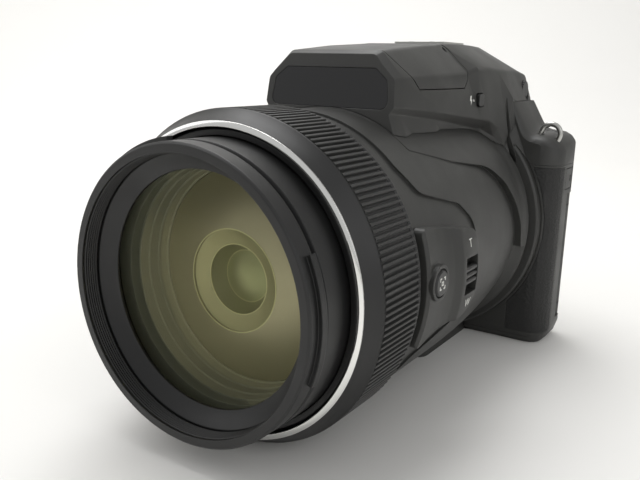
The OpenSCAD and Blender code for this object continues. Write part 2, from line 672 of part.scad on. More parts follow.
// Flash cover: the part of the hump inside this side-view zone lifts on a hinge at its rear edge.
lid_hinge_y = -9.4;
lid_hinge_z = hump_z - 2.6;
knuckle_r = 2;
lid_pin_r = 0.9;
lid_floor = deck_z + 5.6;
lid_front = [hump_y + 4.5, hump_y + 6, hump_y + 10.2, hump_y + 14];
lid_lip = deck_z + 16.5;
lid_jaw = deck_z + 9.2;
module lid_zone(g) along_x(-far, far) {
    polygon([
        [lid_front[0] - g, far], [lid_front[1] - g, lid_lip], [lid_front[2] - g, lid_jaw - g],
        [lid_front[3] - g, lid_floor - g], [lid_hinge_y - 2.6 + g, lid_floor - g],
        [lid_hinge_y + 0.8 + g, lid_floor + 2.7 - g], [lid_hinge_y + knuckle_r + g, lid_floor + 5.9],
        [lid_hinge_y + knuckle_r + g, lid_hinge_z], [lid_hinge_y, lid_hinge_z], [lid_hinge_y, far]]);
    translate([lid_hinge_y, lid_hinge_z]) circle(r = knuckle_r + 2 * g);
}
module lid_axis(x0, x1, r) translate([x0, lid_hinge_y, lid_hinge_z]) rotate([0, 90, 0])
    cylinder(r = r, h = x1 - x0);
lid_wall = 2;
window_w = 34;
window_t = 1.6;
module window_zone(d) along_x(-window_w / 2 + d, window_w / 2 - d) polygon([
    [lid_front[0], lid_lip - 1.3 - d], [lid_front[2] + 0.8, lid_lip - 1.3 - d],
    [lid_front[2] + 0.8, lid_jaw + 0.8 + d], [lid_front[0], lid_jaw + 0.8 + d]]);
module window_slab(t) along_x(-far, far) polygon([
    [lid_front[1], lid_lip], [lid_front[2], lid_jaw],
    [lid_front[2] + t, lid_jaw], [lid_front[1] + t, lid_lip]]);
knuckle_w = 12;
pin_end = knuckle_w + 4.5;
ear_w = pin_end - knuckle_w + clear;
ear_x = (knuckle_w + pin_end + clear) / 2;
ear_room = 0.8;
module hinge_ear(x0, x1, g) {
    lid_axis(x0, x1, knuckle_r + g);
    slab([x0, lid_hinge_y, lid_hinge_z - knuckle_r - g], [x1, far, far]);
}
module hinge_ears(g) {
    hinge_ear(knuckle_w + clear - g, pin_end + g, g);
    hinge_ear(-pin_end - g, -knuckle_w - clear + g, g);
}
module flash_housing() color("#2f2f2e") difference() {
    intersection() {
        hump_form(0);
        lid_zone(0);
    }
    difference() {
        hump_form(lid_wall);
        slab([-far, -far, -far], [far, lid_front[2] - 1.7, far]);
        slab([-far, lid_hinge_y - 4.6, -far], [far, far, far]);
    }
    window_zone(0);
    lid_axis(-far, far, lid_pin_r + pin_fit);
    hinge_ears(clear);
    for (s = [-1, 1]) lid_axis(s * ear_x - ear_w / 2, s * ear_x + ear_w / 2, knuckle_r + ear_room);
}
module flash_window() color("#e9ecec") intersection() {
    hump_form(0.4);
    window_zone(seam);
    window_slab(window_t);
}
module flash_hinge_pin() color("#b5b5b2") lid_axis(-pin_end + 0.5, pin_end - 0.5, lid_pin_r);

shoe_y0 = 8;
shoe_l = 19;
shoe_w = 21;
shoe_slot = 18.7;
shoe_z = hump_z + 0.9;
shoe_t = 0.9;
shoe_gap = 2.1;
shoe_floor = shoe_z - 2 * shoe_t - shoe_gap;
module hot_shoe() color("#a9a9a6") difference() {
    slab([-shoe_w / 2, shoe_y0, shoe_floor], [shoe_w / 2, shoe_y0 + shoe_l, shoe_z]);
    slab([-shoe_slot / 2, shoe_y0 + 1.2, shoe_floor + shoe_t], [shoe_slot / 2, far, shoe_z - shoe_t]);
    slab([-6.3, shoe_y0 + 3, shoe_floor + shoe_t], [6.3, far, far]);
}

cup_w = 52;
cup_h = 21.4;
cup_r = 7;
eye_w = 17;
eye_h = 7.5;
eye_z = deck_z + 1.7;
evf_low = deck_z - 9.4;
module eye_hole(d, y0, y1) plate_y(-eye_w - d, eye_z - eye_h - d, eye_w + d, eye_z + eye_h + d, 3, y0, y1);
diopter_y = 44;
diopter_r = 3.6;
diopter_z = deck_z + diopter_r + 0.4;
diopter_x = 30.6;
flash_key_x = 30;
flash_key_y = -1.3;
flash_key_z = deck_z + 1.2;
flash_key = 2.2;
module flash_key_block(d, x0, x1) along_x(x0, x1) polygon(rounded(rect_corners(
    flash_key_y - flash_key - d, flash_key_z - flash_key - d,
    flash_key_y + flash_key + d, flash_key_z + flash_key + d, 1)));
room_w = 20.5;
// Groove round the foot of the hump, in line with the groove of the collar.
module skirt_groove() difference() {
    slab([25, groove_y, neck_low - over], [far, ridge_y - 0.2, deck_z + 1.5]);
    along_y(groove_y - over, ridge_y + over) polygon([
        [0, neck_low - 2], [36.4, neck_low - 2], [36.4, neck_low], [33.4, deck_z - 14], [32.9, deck_z - 8],
        [32.4, deck_z + 2], [0, deck_z + 2]]);
}
module viewfinder_housing() color("#2f2f2e") difference() {
    hump_form(0);
    difference() {
        lid_zone(clear);
        hinge_ears(0);
    }
    turned(side_outline(seam));
    turned(top_outline(seam));
    skirt_groove();
    mirror([1, 0, 0]) skirt_groove();
    slab([-far, body_front - seam, -far], [far, body_rear + seam, deck_z + seam]);
    slab([-far, body_front, -far], [far, far, evf_low]);
    slab([-room_w, hump_y + 7, -far], [room_w, lid_hinge_y + 5, lid_floor - wall]);
    slab([-room_w, lid_hinge_y + 5 - over, -far], [room_w, body_rear - 8, deck_z + 13.5]);
    on_front() along_y(-over, plate_t + seam) plate_outline(0);
    lid_axis(-pin_end, pin_end, lid_pin_r + seam);
    slab([-shoe_w / 2 - seam, shoe_y0 - seam, shoe_floor - seam], [shoe_w / 2 + seam, far, far]);
    eye_hole(seam, body_rear - 9, far);
    translate([diopter_x - 2.5, diopter_y, diopter_z]) rotate([0, 90, 0])
        cylinder(r = diopter_r + clear, h = far);
    flash_key_block(clear, flash_key_x - 4, far);
}
module name_plate() color("#0a0a0b") on_front() along_y(0.1, plate_t) plate_outline(seam);
module flash_button() color("#1c1c1c") flash_key_block(0, flash_key_x - 2.8, flash_key_x + 0.9);
module eyecup() color("#191919") difference() {
    plate_y(-cup_w / 2, evf_low, cup_w / 2, evf_low + cup_h, cup_r, hump_back + seam, hump_back + eyecup_l);
    eye_hole(0, 0, far);
    plate_y(-eye_w - 3, eye_z - eye_h - 2, eye_w + 3, eye_z + eye_h + 2, 4, hump_back + eyecup_l - 4, far);
}
module eyepiece_lens() color("#31363c", 0.7) eye_hole(0, body_rear - 5, body_rear - 2);
module diopter_knob() color("#1d1d1d") translate([diopter_x - 2.2, diopter_y, diopter_z]) rotate([0, 90, 0])
    linear_extrude(3.4) polygon(ribbed(diopter_r, 0.3, 20));

// Controls on the grip top and the decks.
stem_r = 2.4;
stem_l = 5;
shutter_x = 17 - body_right;
shutter_along = -20;
lever_h = 4.2;
lever_nub = 4.5;
slope_key_r = 3.2;
slope_keys = [[8 - body_right, -5, slope_key_r], [26 - body_right, -5, slope_key_r + 0.4]];
mode_x = 39 - body_right;
mode_y = 30;
mode_h = 8;
command_x = 16.5 - body_right;
command_y = 35;
command_h = 4.6;
module zoom_lever() color("#1f1f1f") on_slope(shutter_x, shutter_along)
translate([0, 0, clear]) difference() {
    union() {
        cylinder(r = lever_r, h = lever_h - 1);
        translate([0, 0, lever_h - 1]) cylinder(r1 = lever_r, r2 = lever_r - 1, h = 1);
        linear_extrude(lever_h - 0.6) polygon(rounded([
            [-3, -lever_r + 2, 0.5], [-1.6, -lever_r - lever_nub, 1.2],
            [1.6, -lever_r - lever_nub, 1.2], [3, -lever_r + 2, 0.5]]));
    }
    translate([0, 0, 1.2]) cylinder(r = shutter_r + clear, h = far);
    translate([0, 0, -over]) cylinder(r = stem_r + clear, h = far);
}
module shutter_button() color("#2b2b2b") on_slope(shutter_x, shutter_along) difference() {
    union() {
        translate([0, 0, -stem_l]) cylinder(r = stem_r, h = stem_l + 4);
        translate([0, 0, lever_h - 0.6]) button(shutter_r, 2.4, 0);
    }
    translate([0, 0, lever_h + 20]) sphere(r = 18.6);
}
module slope_key(k) on_slope(k[0], k[1]) button(k[2], button_h, key_depth);
module fn_button() color("#222222") slope_key(slope_keys[0]);
module power_button() color("#222222") slope_key(slope_keys[1]);
module dial(r, h, ribs) {
    translate([0, 0, -stem_l]) cylinder(r = stem_r, h = stem_l + 1);
    translate([0, 0, clear]) linear_extrude(h - 0.8) polygon(ribbed(r, 0.5, ribs));
    translate([0, 0, clear + h - 0.8]) cylinder(r1 = r - 0.7, r2 = r - 1.4, h = 0.8);
}
module mode_dial() color("#262626") translate([mode_x, mode_y, grip_deck_z]) dial(mode_r, mode_h, 44);
module command_dial() color("#202020") translate([command_x, command_y, grip_deck_z])
    dial(command_r, command_h, 36);

// Keys on the back: [x, z, radius].
key_x = monitor_left - 11.6;
rear_keys = [
    [key_x, 65, button_r], [key_x, 51, button_r], [key_x - 2, 13, button_r], [key_x - 30, 13, button_r]];
deck_keys = [[key_x + 2, 80.5, button_r - 0.4], [body_left - 14, 80.5, button_r - 0.4]];
focus_x = 32 - body_right;
focus_z = 60;
focus_r = 6.4;
focus_depth = 2.4;
selector_x = focus_x;
selector_z = 35;
selector_depth = 3;
ok_r = 4.4;
module rear_key(k) facing_rear(k[0], k[1]) button(k[2], button_h, key_depth);
module movie_button() color("#2a2a2a") rear_key(rear_keys[0]);
module playback_button() color("#2a2a2a") rear_key(rear_keys[1]);
module menu_button() color("#2a2a2a") rear_key(rear_keys[2]);
module delete_button() color("#2a2a2a") rear_key(rear_keys[3]);
module display_button() color("#2a2a2a") rear_key(deck_keys[0]);
module monitor_button() color("#2a2a2a") rear_key(deck_keys[1]);
module focus_selector() color("#232323") facing_rear(focus_x, focus_z) difference() {
    union() {
        translate([0, 0, -focus_depth]) cylinder(r = focus_r, h = focus_depth + 1.2);
        linear_extrude(1.8) polygon(rounded([
            [1.6, focus_r - 1.5, 0.4], [1.2, focus_r + 2.6, 0.8],
            [-1.2, focus_r + 2.6, 0.8], [-1.6, focus_r - 1.5, 0.4]]));
    }
    translate([0, 0, -focus_depth + 0.8]) cylinder(r = button_r + clear, h = far);
}
module ae_lock_button() color("#2a2a2a") facing_rear(focus_x, focus_z)
    button(button_r, 1.9, focus_depth - 1.6);
module multi_selector() color("#242424") facing_rear(selector_x, selector_z) difference() {
    union() {
        translate([0, 0, -selector_depth]) cylinder(r = selector_r - 0.6, h = selector_depth + 0.5);
        linear_extrude(1.6) polygon(ribbed(selector_r, 0.35, 48));
    }
    translate([0, 0, -selector_depth + 0.8]) cylinder(r = ok_r + clear, h = far);
}
module ok_button() color("#2a2a2a") facing_rear(selector_x, selector_z)
    button(ok_r, 1.5, selector_depth - 1.7);

// Fold-out monitor on its hinge block.
screen_w = 66;
screen_h = 48;
screen_t = 1.2;
arm_l = 6;
arm_z = 12;
monitor_mid = monitor_z + monitor_h / 2;
monitor_front = recess_y + clear;
screen_left = monitor_left + 4;
module arm_block(d, x1) slab(
    [monitor_right - arm_l - d, hinge_y - 2.6 - d, monitor_mid - arm_z - d],
    [x1, hinge_y + 2.6 + d, monitor_mid + arm_z + d]);
module screen_zone(d, y0) plate_y(
    screen_left - d, monitor_mid - screen_h / 2 - d,
    screen_left + screen_w + d, monitor_mid + screen_h / 2 + d, 1.5, y0, monitor_front + monitor_t + over);
module monitor_housing() color("#2a2a29") difference() {
    union() {
        plate_y(monitor_left, monitor_z, monitor_right - seam, monitor_z + monitor_h, 4,
            monitor_front + 1, monitor_front + monitor_t - 1);
        plate_y(monitor_left + 1, monitor_z + 1, monitor_right - 1, monitor_z + monitor_h - 1, 3,
            monitor_front, monitor_front + monitor_t);
    }
    screen_zone(seam, monitor_front + monitor_t - screen_t - seam);
    arm_block(seam, far);
}
module monitor_screen() color("#101216") intersection() {
    screen_zone(0, monitor_front + monitor_t - screen_t);
    slab([-far, -far, -far], [far, monitor_front + monitor_t - 0.2, far]);
}
module monitor_hinge_block() color("#262626") {
    translate([hinge_x, hinge_y, monitor_z]) cylinder(r = hinge_r, h = monitor_h);
    translate([hinge_x, hinge_y, monitor_z - hinge_pin_l])
        cylinder(r = hinge_pin_r, h = monitor_h + 2 * hinge_pin_l);
    arm_block(0, hinge_x);
}

// Battery, its door in the base and the connector cover.
door_w = 21;
door_x0 = 6 - body_right;
door_x1 = door_x0 + door_w;
door_y0 = -15;
door_hinge_y = 17;
door_pin_r = 0.8;
module door_axis(x0, x1, r) translate([x0, door_hinge_y, base_t / 2]) rotate([0, 90, 0])
    cylinder(r = r, h = x1 - x0);
module battery_door_room() {
    slab([door_x0 - clear, door_y0 - clear, -over], [door_x1 + clear, door_hinge_y, base_t + over]);
    door_axis(door_x0 - clear, door_x1 + clear, base_t / 2 + clear);
    slab([door_x0 - clear, door_hinge_y, -over],
        [door_x1 + clear, door_hinge_y + base_t / 2 + clear, base_t / 2]);
    door_axis(door_x0 - 2, door_x1 + 2, door_pin_r + pin_fit);
}
module battery_door() color("#2a2a29") {
    slab([door_x0, door_y0, 0], [door_x1, door_hinge_y, base_t]);
    door_axis(door_x0, door_x1, base_t / 2);
    door_axis(door_x0 - 1.8, door_x1 + 1.8, door_pin_r);
}
battery_l = 50;
module battery() color("#3c3c40") slab(
    [door_x0 + 3, door_y0 + 2, base_t + clear], [door_x1 - 3, door_hinge_y - 3, base_t + battery_l]);
cover_t = 1.8;
cover_pin_r = 0.5;
cover_y0 = 35;
cover_hinge_y = 42.6;
cover_z0 = 63.5;
cover_z1 = 71.5;
port_depth = 9;
port_rim = 1.4;
module cover_axis(d, r) translate([body_left - cover_t / 2, cover_hinge_y, cover_z0 - d])
    cylinder(r = r, h = cover_z1 - cover_z0 + 2 * d);
module connector_room() {
    slab([body_left - cover_t - clear, cover_y0 - clear, cover_z0 - clear],
        [body_left + over, cover_hinge_y, cover_z1 + clear]);
    cover_axis(clear, cover_t / 2 + clear);
    cover_axis(1.2, cover_pin_r + pin_fit);
    slab([body_left - cover_t / 2, cover_hinge_y, cover_z0 - clear],
        [body_left + over, cover_hinge_y + cover_t / 2 + clear, cover_z1 + clear]);
    slab([body_left - port_depth, cover_y0 + port_rim, cover_z0 + port_rim],
        [body_left, cover_hinge_y - cover_t, cover_z1 - port_rim]);
}
module connector_cover() color("#2b2b2a") {
    slab([body_left - cover_t, cover_y0, cover_z0], [body_left, cover_hinge_y, cover_z1]);
    cover_axis(0, cover_t / 2);
    cover_axis(1, cover_pin_r);
}

// Metal strap eyelets: half rings on two posts let into the shoulders.
eyelet_r = 3.6;
eyelet_wire = 1;
post_l = 2.4;
// Places and tilts of the eyelets: [x, y, z, degrees].
eyelets = [[body_left - 6.8, 31, shoulder_z - 1.2, 22], [3.4 - body_right, 33, grip_deck_z - 2.4, -45]];
module at_eyelet(e) translate([e[0], e[1], e[2]]) rotate([0, e[3], 0]) children();
module eyelet_posts(d) for (e = eyelets, s = [-1, 1]) at_eyelet(e) translate([s * eyelet_r, 0, -post_l - d])
    cylinder(r = eyelet_wire + d, h = post_l + 3, $fn = 24);
module strap_eyelets() color("#c9c9c6") for (e = eyelets) at_eyelet(e) {
    translate([0, 0, 1]) rotate([90, 0, 0]) rotate_extrude(angle = 180, $fn = 48)
        translate([eyelet_r, 0]) circle(r = eyelet_wire, $fn = 24);
    for (s = [-1, 1]) translate([s * eyelet_r, 0, -post_l])
        cylinder(r = eyelet_wire, h = post_l + 1, $fn = 24);
}

front_cover();
rear_cover();
top_cover();
base_plate();
grip_rubber();
side_rubber();
thumb_rest();
viewfinder_housing();
name_plate();
barrel_housing();
lens_sleeve();
front_cone_ring();
chrome_ring();
control_ring();
rear_index_ring();
zoom_tube_middle();
zoom_tube_front();
filter_ring();
retaining_ring();
front_lens();
baffle_cell();
inner_lens();
zoom_lens_group();
rear_lens_group();
sensor_board();
tripod_socket();
side_zoom_pod();
side_zoom_slider();
snap_back_button();
zoom_lever();
shutter_button();
fn_button();
power_button();
mode_dial();
command_dial();
flash_housing();
flash_window();
flash_hinge_pin();
flash_button();
hot_shoe();
eyecup();
eyepiece_lens();
diopter_knob();
monitor_hinge_block();
monitor_housing();
monitor_screen();
movie_button();
focus_selector();
ae_lock_button();
display_button();
monitor_button();
multi_selector();
ok_button();
playback_button();
menu_button();
delete_button();
battery_door();
battery();
connector_cover();
strap_eyelets();
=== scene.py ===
"""Finishes, small details and studio for a bridge camera with a large zoom lens."""

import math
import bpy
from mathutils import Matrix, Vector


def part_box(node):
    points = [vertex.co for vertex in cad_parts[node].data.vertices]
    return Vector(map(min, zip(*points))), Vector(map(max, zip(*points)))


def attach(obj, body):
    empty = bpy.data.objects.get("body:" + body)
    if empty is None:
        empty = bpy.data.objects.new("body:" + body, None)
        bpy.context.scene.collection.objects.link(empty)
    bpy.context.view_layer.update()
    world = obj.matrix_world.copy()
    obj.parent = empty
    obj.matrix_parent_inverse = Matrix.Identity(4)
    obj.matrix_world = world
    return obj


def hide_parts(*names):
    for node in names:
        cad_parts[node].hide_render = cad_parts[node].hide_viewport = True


bl_info = {
    "name": "Bridge camera finishes",
    "version": (1, 1, 0),
    "blender": (4, 5, 0),
    "location": "View3D > Sidebar > Bridge camera",
    "description": "Gives the packed bridge camera its finishes, marks, small fittings and studio",
    "category": "Object",
}

import bmesh
import bpy
from bpy.props import FloatProperty, FloatVectorProperty, PointerProperty
from mathutils import Matrix, Vector
from mathutils.bvhtree import BVHTree

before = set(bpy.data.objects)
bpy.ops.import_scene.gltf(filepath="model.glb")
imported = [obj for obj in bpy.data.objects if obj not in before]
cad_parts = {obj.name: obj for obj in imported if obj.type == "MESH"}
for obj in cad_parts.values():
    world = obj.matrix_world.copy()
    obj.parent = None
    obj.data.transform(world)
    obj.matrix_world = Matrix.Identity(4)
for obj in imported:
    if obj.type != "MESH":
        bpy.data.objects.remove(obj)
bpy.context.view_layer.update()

MM = 0.001
# Directions of the camera as its user holds it.
FRONT = Vector((0, -1, 0))
REAR = Vector((0, 1, 0))
LEFT = Vector((1, 0, 0))
UP = Vector((0, 0, 1))
# Rays towards the camera start this far out, beyond all its faces.
OUTSIDE = 0.3
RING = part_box("control_ring")
AXIS_Z = (RING[0].z + RING[1].z) / 2
# Frame on the lens axis whose Z looks out of the front of the lens.
LENS_AXIS = Matrix.Translation((0, 0, AXIS_Z)) @ Matrix.Rotation(math.radians(90), 4, "X")
# Surfaces that marks and fittings have been set on.
SKINS = {}
# An edge that turns more than this stays sharp: on most pieces, and on those with flat facets.
SOFT_EDGE = math.radians(32)
CRISP_EDGE = math.radians(16)
FACETED = ("viewfinder_housing", "flash_housing", "name_plate")
WELD_GAP = 0.002 * MM
# Height of a capital letter as a share of the font's size.
CAPITAL = 0.7
# Steps round turned and round pieces.
THREAD_STEPS = 160
GLASS_STEPS = 96
LAMP_STEPS = 48
BASE_SCREW_STEPS = 32
SMALL_STEPS = 24
CUP_STEPS = 20
BEVEL_SAMPLES = 4
# Sockets of a Mix node that mixes colours.
MIX_A, MIX_B, MIX_RESULT = 6, 7, 2


def linear(code):
    """Linear RGBA of an sRGB hex code."""
    parts = [int(code[i:i + 2], 16) / 255 for i in (0, 2, 4)]
    return tuple(c / 12.92 if c <= 0.04045 else ((c + 0.055) / 1.055) ** 2.4 for c in parts) + (1.0,)


def toned(tint, factor, lift=0.0):
    """A colour made darker or lighter by a factor, then lifted."""
    return tuple(min(1.0, c * factor + lift) for c in tint[:3]) + (1.0,)


def in_mm(rows):
    """Rows of millimetres in metres."""
    return [tuple(value * MM for value in row) for row in rows]


def colour(name, description, code):
    """A colour that the user can change, given by its sRGB hex code."""
    return FloatVectorProperty(name=name, description=description, subtype="COLOR", size=4, min=0, max=1,
                               default=linear(code))


def length(name, description, millimetres):
    """A length that the user can change, given in millimetres."""
    return FloatProperty(name=name, description=description, unit="LENGTH", precision=5, default=millimetres * MM)


class FinishSettings(bpy.types.PropertyGroup):
    """Colours and grain of the finishes."""

    cover: colour("Cover plastic", "Moulded plastic of the covers and the hump", "2f2f2d")
    barrel: colour("Barrel plastic", "Satin plastic of the lens barrel", "101010")
    baffle: colour("Baffle paint", "Dull paint inside the lens", "787a6c")
    rubber: colour("Rubber", "Rubber of the grip, the side and the eyecup", "262625")
    plate: colour("Name plate", "Polished plate on the front of the hump", "08080a")
    ink: colour("Marks", "Printed marks", "d9d9d4")
    record: colour("Movie mark", "Red dot on the movie button", "b3251d")
    chrome: colour("Bright ring", "Plated ring at the front of the barrel", "eeeeeb")
    steel: colour("Steel", "Eyelets, shoe and tripod socket", "b9b9b5")
    gold: colour("Gold", "Contacts in the shoe", "d6b25e")
    coating: colour("Front coating", "Tint that the front glass reflects", "a8a37c")
    second: colour("Second coating", "Tint of the large glass inside the lens", "b1ac93")
    third: colour("Third coating", "Tint of the smaller glass inside the lens", "9f9d78")
    inmost: colour("Inmost coating", "Tint of the deepest glass that shows", "90956f")
    glass_edge: colour("Glass edge", "Bright ground edges inside the lens", "c9c79a")
    # A real mould's grain is finer than a pixel, so it is drawn about three times as coarse to show.
    grain: length("Moulded grain", "Spacing of the fine grain on the covers", 0.35)
    pebble: length("Leather grain", "Spacing of the pebbles on the rubber skins", 0.9)
    edge: length("Edge radius", "Rounding that the moulded edges show", 0.45)


class DetailSettings(bpy.types.PropertyGroup):
    """Sizes of the small pieces."""

    mark_height: length("Mark height", "Height of the letters beside the zoom slider", 2.6)
    dial_height: length("Dial letters", "Height of the letters on the mode dial", 2.0)
    key_height: length("Key letters", "Height of the word on the menu key", 1.1)
    ink_height: length("Ink height", "How far the printed marks stand on the plastic", 0.04)
    thread_bore: length("Thread bore", "Diameter of the filter thread", 77.0)
    thread_pitch: length("Thread pitch", "Pitch of the filter thread", 0.75)
    thread_depth: length("Thread depth", "Depth of the filter thread", 0.4)
    second_bow: length("Second glass bow", "How far the large inner glass bulges", 9.0)
    screw: length("Screw head", "Diameter of the base screws' heads", 3.4)


class StageSettings(bpy.types.PropertyGroup):
    """Camera and studio."""

    azimuth: FloatProperty(name="Azimuth", description="Camera's turn from the front", subtype="ANGLE",
                           default=math.radians(33.2))
    elevation: FloatProperty(name="Elevation", description="Camera's height angle", subtype="ANGLE",
                             default=math.radians(13.7))
    roll: FloatProperty(name="Roll", description="Camera's turn about its view", subtype="ANGLE",
                        default=math.radians(1.3))
    place: FloatVectorProperty(name="Place", description="Camera's place", subtype="TRANSLATION",
                               default=(0.1291, -0.2560, 0.1100))
    lens: FloatProperty(name="Lens", description="Focal length on a 36 mm sensor, in millimetres", default=40.84)
    floor: colour("Floor", "Pale table and backdrop", "f0efec")
    sky: FloatProperty(name="Room light", description="Strength of the even light of the room", default=0.55)
    key: FloatProperty(name="Key light", description="Power of the softbox above, in watts", default=9.0)
    side: FloatProperty(name="Side light", description="Power of the softbox on the left, in watts", default=1.5)
    fill: FloatProperty(name="Fill light", description="Power of the fill on the right, in watts", default=2.0)


def finishes():
    """The finishes that the user has set."""
    return bpy.context.scene.bridge_finishes


def details():
    """The sizes that the user has set."""
    return bpy.context.scene.bridge_details


def add(tree, kind, inputs=None, **settings):
    """Adds a node with its settings; an input takes a value or the output socket that feeds it."""
    node = tree.nodes.new(kind)
    for name, value in settings.items():
        setattr(node, name, value)
    for name, value in (inputs or {}).items():
        if isinstance(value, bpy.types.NodeSocket):
            tree.links.new(value, node.inputs[name])
        else:
            node.inputs[name].default_value = value
    return node


def new_finish(name):
    """An empty material and its node tree."""
    material = bpy.data.materials.new(name)
    material.use_nodes = True
    material.node_tree.nodes.clear()
    return material, material.node_tree


def moulded_abs(name, tint, roughness, grain_depth):
    """ABS from a spark-eroded mould: a fine dull grain, with a painted highlight that makes its edges paler."""
    material, tree = new_finish(name)
    settings = finishes()
    cloud_width = 14 * MM
    spread = 0.05
    place = add(tree, "ShaderNodeTexCoord").outputs["Object"]
    grain = add(tree, "ShaderNodeTexNoise", {"Vector": place, "Scale": 1 / settings.grain, "Detail": 3.0,
                                             "Roughness": 0.6})
    cloud = add(tree, "ShaderNodeTexNoise", {"Vector": place, "Scale": 1 / cloud_width, "Detail": 2.0})
    edge = add(tree, "ShaderNodeBevel", {"Radius": settings.edge}, samples=BEVEL_SAMPLES)
    bump = add(tree, "ShaderNodeBump", {"Height": grain.outputs["Fac"], "Normal": edge.outputs["Normal"],
                                        "Strength": 0.35, "Distance": grain_depth})
    # The rounded normal leaves the face's own only along an edge, and there a painted highlight makes the plastic
    # paler.
    face = add(tree, "ShaderNodeNewGeometry")
    turn = add(tree, "ShaderNodeVectorMath", {0: face.outputs["Normal"], 1: edge.outputs["Normal"]},
               operation="DOT_PRODUCT")
    edge_highlight = add(tree, "ShaderNodeMapRange", {"Value": turn.outputs["Value"], "From Min": 0.995, "From Max": 0.8,
                                            "To Min": 0.0, "To Max": 0.22})
    # The base colour mixes towards a paler tint along edges: a painted highlight.
    base = add(tree, "ShaderNodeMix", {"Factor": edge_highlight.outputs["Result"], MIX_A: tint,
                                       MIX_B: toned(tint, 2.6, 0.012)}, data_type="RGBA")
    dull = add(tree, "ShaderNodeMapRange", {"Value": cloud.outputs["Fac"], "From Min": 0.3, "From Max": 0.7,
                                            "To Min": roughness - spread, "To Max": roughness + spread})
    shader = add(tree, "ShaderNodeBsdfPrincipled", {
        "Base Color": base.outputs[MIX_RESULT], "Roughness": dull.outputs["Result"],
        "Normal": bump.outputs["Normal"], "IOR": 1.53})
    add(tree, "ShaderNodeOutputMaterial", {"Surface": shader.outputs[0]})
    return material


def leather_rubber():
    """Thermoplastic rubber moulded with a leather grain: dull pebbles, with painted shade darkening the valleys
    between them.
    """
    material, tree = new_finish("moulded_leather_rubber")
    settings = finishes()
    tint = tuple(settings.rubber)
    fine_grain = 0.25 * MM
    place = add(tree, "ShaderNodeTexCoord").outputs["Object"]
    pebble = add(tree, "ShaderNodeTexVoronoi", {"Vector": place, "Scale": 1 / settings.pebble, "Randomness": 0.9},
                 feature="SMOOTH_F1")
    fine = add(tree, "ShaderNodeTexNoise", {"Vector": place, "Scale": 1 / fine_grain, "Detail": 2.0})
    height = add(tree, "ShaderNodeMath", {0: pebble.outputs["Distance"], 1: -1.0, 2: fine.outputs["Fac"]},
                 operation="MULTIPLY_ADD")
    edge = add(tree, "ShaderNodeBevel", {"Radius": settings.edge}, samples=BEVEL_SAMPLES)
    bump = add(tree, "ShaderNodeBump", {"Height": height.outputs["Value"], "Normal": edge.outputs["Normal"],
                                        "Strength": 0.9, "Distance": 0.22 * MM})
    # The valleys between the pebbles are painted darker as shade.
    base = add(tree, "ShaderNodeMix", {"Factor": pebble.outputs["Distance"], MIX_A: tint, MIX_B: toned(tint, 0.5)},
               data_type="RGBA")
    shader = add(tree, "ShaderNodeBsdfPrincipled", {
        "Base Color": base.outputs[MIX_RESULT], "Roughness": 0.6, "IOR": 1.5, "Normal": bump.outputs["Normal"]})
    add(tree, "ShaderNodeOutputMaterial", {"Surface": shader.outputs[0]})
    return material


def soft_rubber():
    """Silicone rubber of the ribbed ring and the eyecup: even and dull, with a faint bloom."""
    material, tree = new_finish("moulded_silicone_rubber")
    fine_grain = 0.4 * MM
    place = add(tree, "ShaderNodeTexCoord").outputs["Object"]
    fine = add(tree, "ShaderNodeTexNoise", {"Vector": place, "Scale": 1 / fine_grain, "Detail": 3.0})
    edge = add(tree, "ShaderNodeBevel", {"Radius": 0.25 * MM}, samples=BEVEL_SAMPLES)
    bump = add(tree, "ShaderNodeBump", {"Height": fine.outputs["Fac"], "Normal": edge.outputs["Normal"],
                                        "Strength": 0.25, "Distance": 0.03 * MM})
    shader = add(tree, "ShaderNodeBsdfPrincipled", {
        "Base Color": tuple(finishes().rubber), "Roughness": 0.52, "IOR": 1.43, "Sheen Weight": 0.1,
        "Sheen Roughness": 0.4, "Normal": bump.outputs["Normal"]})
    add(tree, "ShaderNodeOutputMaterial", {"Surface": shader.outputs[0]})
    return material


def polished_plate():
    """Polished black acrylic: a smooth clear layer over black, with a faint waviness in what it mirrors."""
    material, tree = new_finish("polished_black_acrylic")
    wave_width = 9 * MM
    place = add(tree, "ShaderNodeTexCoord").outputs["Object"]
    wave = add(tree, "ShaderNodeTexNoise", {"Vector": place, "Scale": 1 / wave_width, "Detail": 1.0})
    edge = add(tree, "ShaderNodeBevel", {"Radius": 0.3 * MM}, samples=BEVEL_SAMPLES)
    bump = add(tree, "ShaderNodeBump", {"Height": wave.outputs["Fac"], "Normal": edge.outputs["Normal"],
                                        "Strength": 0.05, "Distance": 0.02 * MM})
    shader = add(tree, "ShaderNodeBsdfPrincipled", {
        "Base Color": tuple(finishes().plate), "Roughness": 0.18, "IOR": 1.49, "Coat Weight": 0.4,
        "Coat Roughness": 0.06, "Normal": bump.outputs["Normal"]})
    add(tree, "ShaderNodeOutputMaterial", {"Surface": shader.outputs[0]})
    return material


def plated_metal(name, tint, low, high, grit):
    """Plated or tumbled metal: its roughness wanders between two values over small scratches of one grit."""
    material, tree = new_finish(name)
    place = add(tree, "ShaderNodeTexCoord").outputs["Object"]
    scratch = add(tree, "ShaderNodeTexNoise", {"Vector": place, "Scale": 1 / grit, "Detail": 4.0,
                                               "Distortion": 0.6})
    dull = add(tree, "ShaderNodeMapRange", {"Value": scratch.outputs["Fac"], "To Min": low, "To Max": high})
    edge = add(tree, "ShaderNodeBevel", {"Radius": 0.18 * MM}, samples=BEVEL_SAMPLES)
    bump = add(tree, "ShaderNodeBump", {"Height": scratch.outputs["Fac"], "Normal": edge.outputs["Normal"],
                                        "Strength": 0.12, "Distance": 0.02 * MM})
    shader = add(tree, "ShaderNodeBsdfPrincipled", {
        "Base Color": tint, "Metallic": 1.0, "Roughness": dull.outputs["Result"],
        "Normal": bump.outputs["Normal"]})
    add(tree, "ShaderNodeOutputMaterial", {"Surface": shader.outputs[0]})
    return material


